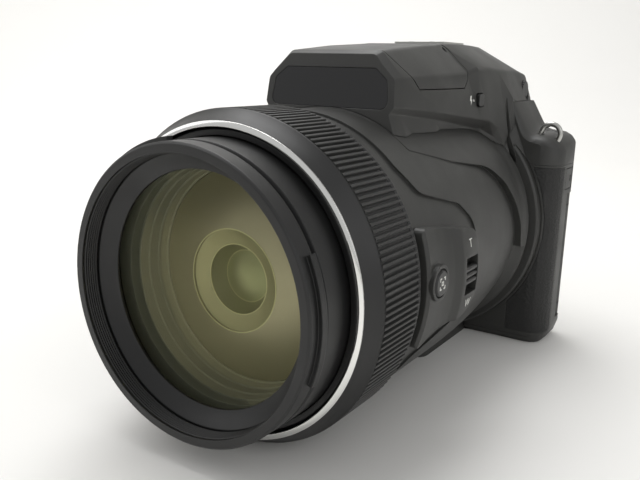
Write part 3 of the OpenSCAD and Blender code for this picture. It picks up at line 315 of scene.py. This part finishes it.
def front_glass():
    """Ground optical glass with a vapour-deposited coating: clear, with khaki reflections on both faces."""
    material, tree = new_finish("coated_front_glass")
    through = add(tree, "ShaderNodeBsdfTransparent", {"Color": linear("fbfbf8")})
    gleam = add(tree, "ShaderNodeBsdfGlossy", {"Color": tuple(finishes().coating), "Roughness": 0.03})
    slant = add(tree, "ShaderNodeLayerWeight", {"Blend": 0.3})
    share = add(tree, "ShaderNodeMapRange", {"Value": slant.outputs["Facing"], "To Min": 0.04, "To Max": 0.3})
    shader = add(tree, "ShaderNodeMixShader", {0: share.outputs[0], 1: through.outputs[0], 2: gleam.outputs[0]})
    add(tree, "ShaderNodeOutputMaterial", {"Surface": shader.outputs[0]})
    return material


def inner_glass(name, tint, roughness):
    """Coated glass deep in the lens: its coating mirrors the room as one even olive tone."""
    material, tree = new_finish(name)
    cloud_width = 30 * MM
    place = add(tree, "ShaderNodeTexCoord").outputs["Object"]
    cloud = add(tree, "ShaderNodeTexNoise", {"Vector": place, "Scale": 1 / cloud_width, "Detail": 1.0})
    base = add(tree, "ShaderNodeMix", {"Factor": cloud.outputs["Fac"], MIX_A: tint, MIX_B: toned(tint, 0.82)},
               data_type="RGBA")
    shader = add(tree, "ShaderNodeBsdfPrincipled", {
        "Base Color": base.outputs[MIX_RESULT], "Metallic": 0.9, "Roughness": roughness})
    add(tree, "ShaderNodeOutputMaterial", {"Surface": shader.outputs[0]})
    return material


def dark_glass():
    """Toughened glass over a display that is off: black with clear reflections."""
    material, tree = new_finish("toughened_display_glass")
    smear_width = 18 * MM
    place = add(tree, "ShaderNodeTexCoord").outputs["Object"]
    smear = add(tree, "ShaderNodeTexNoise", {"Vector": place, "Scale": 1 / smear_width, "Detail": 3.0})
    dull = add(tree, "ShaderNodeMapRange", {"Value": smear.outputs["Fac"], "To Min": 0.04, "To Max": 0.12})
    shader = add(tree, "ShaderNodeBsdfPrincipled", {
        "Base Color": linear("0b0c0f"), "Roughness": dull.outputs["Result"], "IOR": 1.52})
    add(tree, "ShaderNodeOutputMaterial", {"Surface": shader.outputs[0]})
    return material


def printed_ink(name, tint):
    """Pad-printed ink: flat and dull, a little uneven."""
    material, tree = new_finish(name)
    patch_width = 0.4 * MM
    place = add(tree, "ShaderNodeTexCoord").outputs["Object"]
    patch = add(tree, "ShaderNodeTexNoise", {"Vector": place, "Scale": 1 / patch_width})
    dull = add(tree, "ShaderNodeMapRange", {"Value": patch.outputs["Fac"], "To Min": 0.5, "To Max": 0.7})
    shader = add(tree, "ShaderNodeBsdfPrincipled", {"Base Color": tint, "Roughness": dull.outputs["Result"]})
    add(tree, "ShaderNodeOutputMaterial", {"Surface": shader.outputs[0]})
    return material


def prismatic_acrylic(name, tint, pitch):
    """Moulded clear acrylic with fine prisms over a lamp: pale, with bright stripes at the prisms' pitch."""
    material, tree = new_finish(name)
    place = add(tree, "ShaderNodeTexCoord").outputs["Object"]
    # A wave texture repeats every pi / (10 * scale) metres, so this gives one prism per pitch.
    prisms = add(tree, "ShaderNodeTexWave", {"Vector": place, "Scale": math.pi / (10 * pitch), "Distortion": 0.0},
                 bands_direction="Z", wave_profile="TRI")
    bump = add(tree, "ShaderNodeBump", {"Height": prisms.outputs["Fac"], "Strength": 0.8, "Distance": 0.3 * MM})
    shader = add(tree, "ShaderNodeBsdfPrincipled", {
        "Base Color": tint, "Roughness": 0.15, "IOR": 1.49, "Transmission Weight": 0.25,
        "Normal": bump.outputs["Normal"]})
    add(tree, "ShaderNodeOutputMaterial", {"Surface": shader.outputs[0]})
    return material


def paper_sweep(tint):
    """Uncoated paper of the backdrop: matt, with a faint tooth."""
    material, tree = new_finish("matt_paper_sweep")
    tooth_width = 2 * MM
    place = add(tree, "ShaderNodeTexCoord").outputs["Object"]
    tooth = add(tree, "ShaderNodeTexNoise", {"Vector": place, "Scale": 1 / tooth_width, "Detail": 4.0})
    bump = add(tree, "ShaderNodeBump", {"Height": tooth.outputs["Fac"], "Strength": 0.05, "Distance": 0.1 * MM})
    shader = add(tree, "ShaderNodeBsdfPrincipled", {
        "Base Color": tint, "Roughness": 0.7, "Normal": bump.outputs["Normal"]})
    add(tree, "ShaderNodeOutputMaterial", {"Surface": shader.outputs[0]})
    return material


def smooth_faces(limit):
    """Modifier nodes that weld a CAD mesh and shade it as curves, keeping edges that turn more than the limit."""
    tree = bpy.data.node_groups.new("smooth_faces", "GeometryNodeTree")
    for way in ("INPUT", "OUTPUT"):
        tree.interface.new_socket("Geometry", in_out=way, socket_type="NodeSocketGeometry")
    mesh = add(tree, "NodeGroupInput")
    weld = add(tree, "GeometryNodeMergeByDistance", {0: mesh.outputs[0], "Distance": WELD_GAP})
    faces = add(tree, "GeometryNodeSetShadeSmooth", {0: weld.outputs[0], "Shade Smooth": True}, domain="FACE")
    angle = add(tree, "GeometryNodeInputMeshEdgeAngle")
    sharp = add(tree, "FunctionNodeCompare", {0: angle.outputs[0], 1: limit}, operation="GREATER_THAN")
    edges = add(tree, "GeometryNodeSetShadeSmooth",
                {0: faces.outputs[0], "Selection": sharp.outputs[0], "Shade Smooth": False}, domain="EDGE")
    add(tree, "NodeGroupOutput", {0: edges.outputs[0]})
    return tree


def dress(material, *names):
    """Gives CAD nodes a finish."""
    for name in names:
        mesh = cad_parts[name].data
        mesh.materials.clear()
        mesh.materials.append(material)


def middle(node):
    """The middle of a CAD node's box."""
    low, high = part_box(node)
    return (low + high) / 2


def seat_on(node, start, aim, up):
    """A frame where a ray meets a CAD node: Z stands out of the face and Y leans towards up."""
    if node not in SKINS:
        SKINS[node] = BVHTree.FromObject(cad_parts[node], bpy.context.evaluated_depsgraph_get())
    spot, face, _, _ = SKINS[node].ray_cast(Vector(start), Vector(aim))
    if spot is None:
        raise RuntimeError("No face of " + node + " lies under a mark")
    across = Vector(up).cross(face).normalized()
    turn = Matrix((across, face.cross(across), face)).transposed().to_4x4()
    return Matrix.Translation(spot) @ turn


def left_seat(node, y, z):
    """A seat on a node's left side, upright."""
    return seat_on(node, (OUTSIDE, y, z), -LEFT, UP)


def top_seat(node, x, y):
    """A seat on a node's top, to be read from behind the camera."""
    return seat_on(node, (x, y, OUTSIDE), -UP, FRONT)


def base_seat(node, x, y):
    """A seat on a node's underside."""
    return seat_on(node, (x, y, -OUTSIDE), UP, FRONT)


def rear_seat(node, x, z):
    """A seat on a node's back, upright."""
    return seat_on(node, (x, OUTSIDE, z), FRONT, UP)


def close_mesh(bm, name):
    """Turns a finished bmesh into a mesh with outward faces and soft curves."""
    bmesh.ops.recalc_face_normals(bm, faces=bm.faces)
    mesh = bpy.data.meshes.new(name)
    bm.to_mesh(mesh)
    bm.free()
    mesh.shade_smooth()
    mesh.set_sharp_from_angle(angle=SOFT_EDGE)
    return mesh


def spun(name, profile, steps, seat, ring=False):
    """A turned mesh: a profile of (radius, height) swept about the seat's Z; a ring's profile closes on itself."""
    bm = bmesh.new()
    rows = []
    for radius, height in profile:
        if radius == 0:
            rows.append([bm.verts.new(seat @ Vector((0, 0, height)))] * steps)
        else:
            rows.append([bm.verts.new(seat @ Vector((x, y, height))) for x, y in circle_line(radius, steps)])
    pairs = list(zip(rows, rows[1:])) + ([(rows[-1], rows[0])] if ring else [])
    for low, high in pairs:
        for k in range(steps):
            after = (k + 1) % steps
            bm.faces.new(list(dict.fromkeys((low[k], low[after], high[after], high[k]))))
    return close_mesh(bm, name)


def plate(name, loops, height, seat):
    """A flat plate on its seat: the first loop is its outline and the others are holes in it."""
    bm = bmesh.new()
    rim = []
    for loop in loops:
        corners = [bm.verts.new((x, y, 0)) for x, y in loop]
        rim += [bm.edges.new(pair) for pair in zip(corners, corners[1:] + corners[:1])]
    fill = bmesh.ops.triangle_fill(bm, use_beauty=True, edges=rim)["geom"]
    floor = [part for part in fill if isinstance(part, bmesh.types.BMFace)]
    lift = {corner: bm.verts.new(corner.co + Vector((0, 0, height))) for corner in list(bm.verts)}
    for face in floor:
        bm.faces.new([lift[corner] for corner in face.verts])
    for edge in rim:
        a, b = edge.verts
        bm.faces.new((a, b, lift[b], lift[a]))
    bm.transform(seat)
    return close_mesh(bm, name)


def joined(name, meshes):
    """One mesh made of several."""
    bm = bmesh.new()
    for mesh in meshes:
        bm.from_mesh(mesh)
        bpy.data.meshes.remove(mesh)
    whole = bpy.data.meshes.new(name)
    bm.to_mesh(whole)
    bm.free()
    return whole


def piece(name, mesh, material, body):
    """Puts a mesh in the scene as a piece that rides on a body."""
    obj = bpy.data.objects.new(name, mesh)
    bpy.context.scene.collection.objects.link(obj)
    mesh.materials.append(material)
    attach(obj, body)
    return obj


def lettering(name, words, height, seat, material, body):
    """Printed letters as a mesh of ink height, centred on a seat."""
    curve = bpy.data.curves.new(name, "FONT")
    curve.body = words
    curve.size = height / CAPITAL
    curve.align_x = "CENTER"
    curve.align_y = "CENTER"
    curve.extrude = details().ink_height
    flat = bpy.data.objects.new(name + "_flat", curve)
    bpy.context.scene.collection.objects.link(flat)
    bpy.context.view_layer.update()
    mesh = bpy.data.meshes.new_from_object(flat.evaluated_get(bpy.context.evaluated_depsgraph_get()))
    bpy.data.objects.remove(flat)
    mesh.name = name
    mesh.transform(seat)
    piece(name, mesh, material, body)


def mark(name, shapes, size, seat, material, body):
    """A printed mark made of flat shapes that are drawn in units of its size."""
    ink = details().ink_height
    low = seat @ Matrix.Translation((0, 0, -ink))
    plates = [plate(name, [[(x * size, y * size) for x, y in loop] for loop in loops], 2 * ink, low)
              for loops in shapes]
    piece(name, joined(name, plates), material, body)


def circle_line(radius, steps):
    """Points round a circle."""
    turns = [2 * math.pi * k / steps for k in range(steps)]
    return [(radius * math.cos(turn), radius * math.sin(turn)) for turn in turns]


def box_line(width, height, x=0.0, y=0.0):
    """Corners of a rectangle about a point."""
    return [(x - width / 2, y - height / 2), (x + width / 2, y - height / 2),
            (x + width / 2, y + height / 2), (x - width / 2, y + height / 2)]


def cross_line(reach, width):
    """Outline of the recess in a cross-head screw."""
    half = width / 2
    return [(half, half), (half, reach), (-half, reach), (-half, half), (-reach, half), (-reach, -half),
            (-half, -half), (-half, -reach), (half, -reach), (half, -half), (reach, -half), (reach, half)]


# Shapes of the printed marks in units of their size: lists of plates, each an outline and its holes.
BOLT = [[[(0.05, 0.5), (0.3, 0.5), (0.1, 0.1), (0.3, 0.1), (-0.15, -0.5), (-0.02, -0.05), (-0.25, -0.05)]]]
PLAY = [[[(-0.4, 0.5), (0.5, 0), (-0.4, -0.5)]]]
ARROW = [[[(-0.5, -0.3), (0.5, -0.3), (0, 0.45)]]]
TICK = [[box_line(0.24, 1.0)]]
DOT = [[circle_line(0.5, SMALL_STEPS)]]
SCREEN = [[box_line(1.0, 0.72), box_line(0.78, 0.5)]]
BIN = [[[(-0.35, 0.25), (0.35, 0.25), (0.27, -0.5), (-0.27, -0.5)], box_line(0.09, 0.5, -0.1, -0.13),
        box_line(0.09, 0.5, 0.1, -0.13)],
       [[(-0.45, 0.32), (0.45, 0.32), (0.45, 0.42), (0.15, 0.42), (0.15, 0.5), (-0.15, 0.5), (-0.15, 0.42),
         (-0.45, 0.42)]]]
CORNERS = [[[(a * x, b * y) for x, y in ((0.5, 0.5), (0.5, 0.2), (0.38, 0.2), (0.38, 0.38), (0.2, 0.38),
                                         (0.2, 0.5))]] for a in (1, -1) for b in (1, -1)]
AIM_FRAME = CORNERS + [[box_line(0.36, 0.36), box_line(0.16, 0.16)]]


class BRIDGE_OT_shading(bpy.types.Operator):
    """Shades the solids' facets as the curves that they stand for"""

    bl_idname = "bridge.shading"
    bl_label = "Shading"

    def execute(self, context):
        soft = smooth_faces(SOFT_EDGE)
        crisp = smooth_faces(CRISP_EDGE)
        for name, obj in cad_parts.items():
            obj.modifiers.new("smooth_faces", "NODES").node_group = crisp if name in FACETED else soft
        return {"FINISHED"}


class BRIDGE_OT_covers(bpy.types.Operator):
    """Finish of the covers, the hump and the small plastic pieces"""

    bl_idname = "bridge.covers"
    bl_label = "Covers"

    def execute(self, context):
        cover = moulded_abs("spark_eroded_abs", tuple(finishes().cover), 0.5, 0.05 * MM)
        dress(cover, "front_cover", "rear_cover", "top_cover", "base_plate", "viewfinder_housing", "barrel_housing",
              "side_zoom_pod", "flash_housing", "monitor_housing", "monitor_hinge_block", "battery_door",
              "connector_cover")
        small = moulded_abs("satin_abs", tuple(finishes().barrel), 0.4, 0.03 * MM)
        dress(small, "zoom_lever", "shutter_button", "fn_button", "power_button", "mode_dial", "command_dial",
              "flash_button", "diopter_knob", "movie_button", "focus_selector", "ae_lock_button", "display_button",
              "monitor_button", "multi_selector", "ok_button", "playback_button", "menu_button", "delete_button",
              "snap_back_button", "side_zoom_slider", "battery")
        dress(leather_rubber(), "grip_rubber", "side_rubber", "thumb_rest")
        dress(polished_plate(), "name_plate")
        return {"FINISHED"}


class BRIDGE_OT_barrel(bpy.types.Operator):
    """Finish of the lens barrel, its rings and its filter thread"""

    bl_idname = "bridge.barrel"
    bl_label = "Lens barrel"

    def execute(self, context):
        settings = details()
        satin = moulded_abs("satin_painted_polycarbonate", tuple(finishes().barrel), 0.44, 0.02 * MM)
        dress(satin, "lens_sleeve", "front_cone_ring", "rear_index_ring", "zoom_tube_middle", "zoom_tube_front",
              "filter_ring", "retaining_ring", "zoom_lens_group", "rear_lens_group")
        dress(moulded_abs("dull_baffle_paint", tuple(finishes().baffle), 0.7, 0.05 * MM), "baffle_cell",
              "sensor_board")
        dress(soft_rubber(), "control_ring", "eyecup")
        dress(plated_metal("polished_chromium_plate", tuple(finishes().chrome), 0.06, 0.16, 0.5 * MM), "chrome_ring")
        # The thread's ridges run back from a plain lead at the rim, and their backs are sunk in its wall.
        lead = 0.8 * MM
        wall_depth = 0.2 * MM
        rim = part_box("filter_ring")
        bore = settings.thread_bore / 2
        start = -rim[0].y - lead
        turns = int((start + rim[1].y) / settings.thread_pitch)
        profile = []
        for k in range(turns):
            height = start - k * settings.thread_pitch
            profile += [(bore, height), (bore - settings.thread_depth, height - settings.thread_pitch / 2)]
        end = start - turns * settings.thread_pitch
        wall = bore + wall_depth
        profile += [(bore, end), (wall, end), (wall, start)]
        piece("filter_thread", spun("filter_thread", profile, THREAD_STEPS, LENS_AXIS, ring=True), satin,
              "zoom_front")
        return {"FINISHED"}


class BRIDGE_OT_glass(bpy.types.Operator):
    """The lens elements that show through the front glass, the display and the lamps"""

    bl_idname = "bridge.glass"
    bl_label = "Glass"

    def execute(self, context):
        tints = finishes()
        dress(front_glass(), "front_lens")
        dress(dark_glass(), "monitor_screen", "eyepiece_lens")
        dress(prismatic_acrylic("prismatic_acrylic", linear("dfe3e2"), 1.1 * MM), "flash_window")

        # The second glass bulges over the solid's place, with a round hole in its middle.
        rim, hole, well, eye = 32.2 * MM, 15.2 * MM, 10.4 * MM, 7.8 * MM
        proud = 1.0 * MM
        bands = 8
        low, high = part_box("inner_lens")
        back = -high.y
        foot = -low.y + proud
        bow = details().second_bow
        ball = (rim * rim + bow * bow) / (2 * bow)

        def dome(radius):
            """Height of the bulge at a radius."""
            return foot + bow - (ball - math.sqrt(ball * ball - radius * radius))

        steps = [rim - (rim - hole) * k / bands for k in range(bands + 1)]
        profile = [(r, dome(r)) for r in steps] + [(hole, back), (rim, back)]
        second = piece("second_lens", spun("second_lens", profile, GLASS_STEPS, LENS_AXIS, ring=True),
                       inner_glass("coated_second_glass", tuple(tints.second), 0.45), "zoom_front")
        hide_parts("inner_lens")

        # The third glass is a dish in that hole, from its brim down to a well.
        fit = 0.05 * MM
        brim = dome(hole)
        ledge = brim - 2.2 * MM
        under = brim - 3 * MM
        profile = [(hole - fit, brim - 0.7 * MM), (13 * MM, brim - 1.6 * MM), (well, ledge), (well, under),
                   (hole - fit, under)]
        piece("third_lens", spun("third_lens", profile, GLASS_STEPS, LENS_AXIS, ring=True),
              inner_glass("coated_third_glass", tuple(tints.third), 0.45), "zoom_front")

        # The inmost glass closes the well: a cone down to the eye, and a low crown on its floor.
        floor = brim - 6.5 * MM
        profile = [(well - fit, brim - 2.4 * MM), (eye, floor)]
        profile += [(eye * share, floor + rise * MM) for share, rise in ((0.75, 0.9), (0.4, 1.4), (0, 1.6))]
        piece("inmost_lens", spun("inmost_lens", profile, GLASS_STEPS, LENS_AXIS),
              inner_glass("coated_inmost_glass", tuple(tints.inmost), 0.35), "zoom_front")

        bright = inner_glass("ground_glass_edge", tuple(tints.glass_edge), 0.4)
        for name, radius, height, width in (("second_lens_edge", hole, brim, 0.28),
                                            ("third_lens_edge", well, ledge, 0.2),
                                            ("inmost_lens_edge", eye, floor, 0.16)):
            half = width * MM / 2
            profile = [(radius + half, height - half), (radius + half, height + half),
                       (radius - half, height + half), (radius - half, height - half)]
            piece(name, spun(name, profile, GLASS_STEPS, LENS_AXIS, ring=True), bright, "zoom_front")
        return {"FINISHED"}


class BRIDGE_OT_metal(bpy.types.Operator):
    """Finish of the metal fittings, with the contacts and screws of the shoe and the base"""

    bl_idname = "bridge.metal"
    bl_label = "Metal fittings"

    def execute(self, context):
        grit = 0.3 * MM
        steel = plated_metal("tumbled_stainless_steel", tuple(finishes().steel), 0.22, 0.4, grit)
        dress(steel, "tripod_socket", "hot_shoe", "strap_eyelets", "flash_hinge_pin")
        gold = plated_metal("hard_gold_plate", tuple(finishes().gold), 0.18, 0.3, grit)
        black = plated_metal("black_oxide_steel", linear("3a3a3a"), 0.35, 0.5, grit)
        shoe = middle("hot_shoe")

        # Contacts are low buttons, drawn as (share of the radius, height) and placed from the shoe's middle.
        button = ((1, -0.02), (0.9, 0.1), (0.55, 0.2), (0, 0.22))
        pads = []
        for x, y, radius in in_mm(((0, 0, 1.3), (-3.4, 3.6, 0.75), (0, 5.0, 0.75), (3.4, 3.6, 0.75))):
            profile = [(radius * share, height * MM) for share, height in button]
            pads.append(spun("pad", profile, SMALL_STEPS, top_seat("hot_shoe", shoe.x + x, shoe.y + y)))
        piece("shoe_contacts", joined("shoe_contacts", pads), gold, "camera_body")

        radius, reach, width, rise = 1.0 * MM, 0.65 * MM, 0.3 * MM, 0.12 * MM
        loops = [circle_line(radius, SMALL_STEPS), cross_line(reach, width)]
        heads = [plate("head", loops, rise, top_seat("hot_shoe", shoe.x + x, shoe.y + y))
                 for x, y in in_mm(((-4.4, -6.6), (4.4, -6.6), (-4.4, 7.6), (4.4, 7.6)))]
        piece("shoe_screws", joined("shoe_screws", heads), black, "camera_body")

        radius = details().screw / 2
        reach, width, rise = radius * 0.62, radius * 0.3, 0.1 * MM
        loops = [circle_line(radius, BASE_SCREW_STEPS), cross_line(reach, width)]
        heads = [plate("head", loops, rise, base_seat("base_plate", x, y))
                 for x, y in in_mm(((43, 36), (-20, 40), (-46, 40), (-80, 34), (14, -10), (-14, -10)))]
        piece("base_screws", joined("base_screws", heads), black, "camera_body")
        return {"FINISHED"}


class BRIDGE_OT_fittings(bpy.types.Operator):
    """Lamp, microphone and speaker holes, latch and other small fittings"""

    bl_idname = "bridge.fittings"
    bl_label = "Small fittings"

    def execute(self, context):
        # A near-black finish painted where holes, a notch and gaps would be in shadow.
        painted_shadow = moulded_abs("open_hole_shadow", linear("060606"), 0.8, 0.02 * MM)
        trim = moulded_abs("satin_trim_abs", tuple(finishes().barrel), 0.4, 0.03 * MM)
        amber = prismatic_acrylic("amber_acrylic", linear("c98a4a"), 0.5 * MM)

        lamp_x, lamp_z = -47 * MM, 79.5 * MM
        seat = seat_on("top_cover", (lamp_x, -OUTSIDE, lamp_z), REAR, UP)
        profile = in_mm(((2.9, -0.05), (2.9, 0.25), (2.6, 0.45), (2.25, 0.3)))
        piece("lamp_bezel", spun("lamp_bezel", profile, LAMP_STEPS, seat), trim, "camera_body")
        profile = in_mm(((2.3, 0.2), (2.0, 0.55), (1.3, 0.85), (0.6, 0.97), (0, 1.0)))
        piece("focus_lamp", spun("focus_lamp", profile, LAMP_STEPS, seat), amber, "camera_body")

        # Sound holes, in millimetres: two rows of three on the hump and a square of nine on the deck, each a small
        # cup painted as the shadow in a hole.
        pitch = 1.7
        hump = [(side * 9 + step * pitch, 3.0) for side in (-1, 1) for step in (-1, 0, 1)]
        deck = [(43.5 + column * pitch, 39.5 + row * pitch) for column in range(3) for row in range(3)]
        profile = in_mm(((0.6, -0.03), (0.5, 0.05), (0.4, 0.03), (0, 0.02)))
        for name, node, spots in (("microphone_holes", "viewfinder_housing", hump),
                                  ("speaker_holes", "top_cover", deck)):
            cups = [spun("cup", profile, CUP_STEPS, top_seat(node, x, y)) for x, y in in_mm(spots)]
            piece(name, joined(name, cups), painted_shadow, "camera_body")

        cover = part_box("connector_cover")
        from_rear = 2.4 * MM
        seat = left_seat("connector_cover", cover[1].y - from_rear, middle("connector_cover").z)
        # The cover's notch is a thin plate painted as its shadow.
        notch = plate("cover_notch", [in_mm(box_line(1.3, 2.4))], 0.05 * MM, seat)
        piece("cover_notch", notch, painted_shadow, "connector_cover_body")

        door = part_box("battery_door")
        from_front = 5 * MM
        seat = base_seat("battery_door", middle("battery_door").x, door[0].y + from_front)
        loops = [box_line(9, 4.4)] + [box_line(0.8, 3.0, x) for x in (-2.4, 0, 2.4)]
        latch = plate("door_latch", [in_mm(loop) for loop in loops], 0.1 * MM, seat)
        piece("door_latch", latch, trim, "battery_door_body")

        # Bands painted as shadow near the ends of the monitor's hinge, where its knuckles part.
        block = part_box("monitor_hinge_block")
        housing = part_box("monitor_housing")
        from_end = 5 * MM
        radius = (block[1].y - block[0].y) / 2
        profile = [(radius + r, h) for r, h in in_mm(((-0.2, -0.25), (0.04, -0.25), (0.04, 0.25), (-0.2, 0.25)))]
        bands = []
        for z in (housing[0].z + from_end, housing[1].z - from_end):
            seat = Matrix.Translation((block[1].x - radius, middle("monitor_hinge_block").y, z))
            bands.append(spun("band", profile, LAMP_STEPS, seat, ring=True))
        piece("hinge_bands", joined("hinge_bands", bands), painted_shadow, "monitor")

        sensor_z = 112 * MM
        window = plate("eye_sensor", [in_mm(box_line(7, 1.8))], 0.08 * MM,
                       rear_seat("viewfinder_housing", 0, sensor_z))
        piece("eye_sensor", window, dark_glass(), "camera_body")
        return {"FINISHED"}


class BRIDGE_OT_marks(bpy.types.Operator):
    """Printed marks on and beside the controls"""

    bl_idname = "bridge.marks"
    bl_label = "Marks"

    def execute(self, context):
        ink = printed_ink("pad_printed_ink", tuple(finishes().ink))
        red = printed_ink("pad_printed_red_ink", tuple(finishes().record))
        sizes = details()

        # Left side: sizes and places from the control that a mark belongs to, in millimetres.
        slider = middle("side_zoom_slider")
        ahead = 0.5 * MM
        for words, rise in (("T", 9.8), ("W", -8.8)):
            seat = left_seat("side_zoom_pod", slider.y - ahead, AXIS_Z + rise * MM)
            lettering("mark_" + words, words, sizes.mark_height, seat, ink, "camera_body")
        key = middle("flash_button")
        for name, shapes, size, ahead in (("flash_bolt", BOLT, 3.4, 6.4), ("flash_arrow", ARROW, 1.2, 4.2)):
            seat = left_seat("viewfinder_housing", key.y - ahead * MM, key.z)
            mark(name, shapes, size * MM, seat, ink, "camera_body")
        snap = middle("snap_back_button")
        size = 3.6 * MM
        seat = left_seat("snap_back_button", snap.y, snap.z)
        mark("snap_back_mark", AIM_FRAME, size, seat, ink, "snap_back_button_body")

        # Top: the dial's letters stand round it and face outwards; words are drawn smaller than single letters.
        dial = middle("mode_dial")
        modes = ("AUTO", "P", "S", "A", "M", "U", "SCN")
        letter_circle, word_share = 8 * MM, 0.55
        for k, words in enumerate(modes):
            turn = math.radians(90 - 360 * k / len(modes))
            out = Vector((math.cos(turn), math.sin(turn), 0))
            seat = seat_on("mode_dial", dial + out * letter_circle + UP * OUTSIDE, -UP, out)
            height = sizes.dial_height * (1 if len(words) == 1 else word_share)
            lettering("dial_" + words, words, height, seat, ink, "mode_dial_body")
        behind, size = 1.8 * MM, 1.8 * MM
        seat = top_seat("top_cover", dial.x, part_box("mode_dial")[1].y + behind)
        mark("dial_index", TICK, size, seat, ink, "camera_body")
        power = middle("power_button")
        behind, height = 6 * MM, 1.2 * MM
        seat = top_seat("top_cover", power.x, power.y + behind)
        lettering("mark_on_off", "ON/OFF", height, seat, ink, "camera_body")
        spare = middle("fn_button")
        height = 1.7 * MM
        seat = top_seat("fn_button", spare.x, spare.y)
        lettering("mark_fn", "Fn", height, seat, ink, "fn_button_body")

        # Back: a word or a sign in the middle of each key.
        for node, words, height in (("menu_button", "MENU", sizes.key_height), ("display_button", "DISP", 1.0 * MM),
                                    ("ok_button", "OK", 1.9 * MM), ("ae_lock_button", "L", 1.9 * MM)):
            spot = middle(node)
            lettering("mark_" + node, words, height, rear_seat(node, spot.x, spot.z), ink, node + "_body")
        for node, shapes, size, paint in (("playback_button", PLAY, 2.6, ink), ("delete_button", BIN, 3.2, ink),
                                          ("monitor_button", SCREEN, 3.2, ink), ("movie_button", DOT, 2.6, red)):
            spot = middle(node)
            mark("mark_" + node, shapes, size * MM, rear_seat(node, spot.x, spot.z), paint, node + "_body")
        pad = middle("multi_selector")
        arrow_circle, size = 8 * MM, 1.3 * MM
        for k, side in enumerate((UP, LEFT, -UP, -LEFT)):
            seat = seat_on("multi_selector", pad + side * arrow_circle + REAR * OUTSIDE, FRONT, side)
            mark("selector_mark_%d" % k, ARROW, size, seat, ink, "multi_selector_body")
        return {"FINISHED"}


class BRIDGE_OT_stage(bpy.types.Operator):
    """Pale table, soft light and the camera of the view"""

    bl_idname = "bridge.stage"
    bl_label = "Stage"

    def execute(self, context):
        scene = context.scene
        settings = scene.bridge_stage

        # The sweep's side view in metres: a floor that bends up into a backdrop behind the object.
        floor_start, bend_start, bend, wall_top, half_width = -1.5, 0.5, 0.35, 2.5, 3.0
        line = [(floor_start, 0.0)]
        line += [(bend_start + bend * math.sin(math.radians(a)), bend - bend * math.cos(math.radians(a)))
                 for a in range(0, 91, 10)]
        line += [(bend_start + bend, wall_top)]
        turn = Matrix.Rotation(settings.azimuth, 4, "Z")
        bm = bmesh.new()
        rows = [[bm.verts.new(turn @ Vector((x, y, z))) for x in (-half_width, half_width)] for y, z in line]
        for a, b in zip(rows, rows[1:]):
            bm.faces.new((a[0], a[1], b[1], b[0])).smooth = True
        mesh = bpy.data.meshes.new("sweep")
        bm.to_mesh(mesh)
        bm.free()
        mesh.materials.append(paper_sweep(tuple(settings.floor)))
        sweep = bpy.data.objects.new("sweep", mesh)
        scene.collection.objects.link(sweep)

        world = bpy.data.worlds.new("studio")
        scene.world = world
        world.use_nodes = True
        room = world.node_tree.nodes["Background"].inputs
        room["Color"].default_value = linear("ffffff")
        room["Strength"].default_value = settings.sky
        target = Vector((0, -0.03, 0.05))
        for name, spot, size, power in (
                ("top_softbox", (-0.35, 0.15, 1.1), (0.9, 0.7), settings.key),
                ("left_softbox", (-0.9, -0.5, 0.7), (0.7, 0.9), settings.side),
                ("right_fill", (1.0, -0.4, 0.6), (0.8, 0.8), settings.fill)):
            lamp = bpy.data.lights.new(name, "AREA")
            lamp.shape = "RECTANGLE"
            lamp.size, lamp.size_y = size
            lamp.energy = power
            obj = bpy.data.objects.new(name, lamp)
            obj.location = spot
            obj.rotation_euler = (target - Vector(spot)).to_track_quat("-Z", "Y").to_euler()
            scene.collection.objects.link(obj)

        azimuth, elevation, roll = settings.azimuth, settings.elevation, settings.roll
        back = Vector((math.sin(azimuth) * math.cos(elevation), -math.cos(azimuth) * math.cos(elevation),
                       math.sin(elevation)))
        right = Vector((math.cos(azimuth), math.sin(azimuth), 0))
        up = back.cross(right)
        across = right * math.cos(roll) + up * math.sin(roll)
        above = up * math.cos(roll) - right * math.sin(roll)
        camera = bpy.data.objects.new("view_camera", bpy.data.cameras.new("view_camera"))
        camera.data.sensor_width = 36
        camera.data.lens = settings.lens
        camera.data.clip_start = 0.01
        turn = Matrix((across, above, back)).transposed().to_4x4()
        camera.matrix_world = Matrix.Translation(settings.place) @ turn
        scene.collection.objects.link(camera)
        scene.camera = camera
        scene.view_settings.view_transform = "Standard"
        return {"FINISHED"}


OPERATORS = (BRIDGE_OT_shading, BRIDGE_OT_covers, BRIDGE_OT_barrel, BRIDGE_OT_glass, BRIDGE_OT_metal,
             BRIDGE_OT_fittings, BRIDGE_OT_marks, BRIDGE_OT_stage)
GROUPS = (("bridge_finishes", FinishSettings), ("bridge_details", DetailSettings), ("bridge_stage", StageSettings))


class BRIDGE_PT_panel(bpy.types.Panel):
    """Steps that dress the bridge camera"""

    bl_idname = "BRIDGE_PT_panel"
    bl_label = "Bridge camera"
    bl_space_type = "VIEW_3D"
    bl_region_type = "UI"
    bl_category = "Bridge camera"

    def draw(self, context):
        for step in OPERATORS:
            self.layout.operator(step.bl_idname)
        for group_name, _ in GROUPS:
            group = getattr(context.scene, group_name)
            for name in group.bl_rna.properties.keys():
                if name not in ("rna_type", "name"):
                    self.layout.prop(group, name)


def register():
    for name, group in GROUPS:
        bpy.utils.register_class(group)
        setattr(bpy.types.Scene, name, PointerProperty(type=group))
    for kind in OPERATORS + (BRIDGE_PT_panel,):
        bpy.utils.register_class(kind)


def unregister():
    for kind in reversed(OPERATORS + (BRIDGE_PT_panel,)):
        bpy.utils.unregister_class(kind)
    for name, group in reversed(GROUPS):
        delattr(bpy.types.Scene, name)
        bpy.utils.unregister_class(group)


def main():
    register()
    bpy.ops.bridge.shading()
    bpy.ops.bridge.covers()
    bpy.ops.bridge.barrel()
    bpy.ops.bridge.glass()
    bpy.ops.bridge.metal()
    bpy.ops.bridge.fittings()
    bpy.ops.bridge.marks()
    bpy.ops.bridge.stage()


if __name__ == "__main__":
    main()
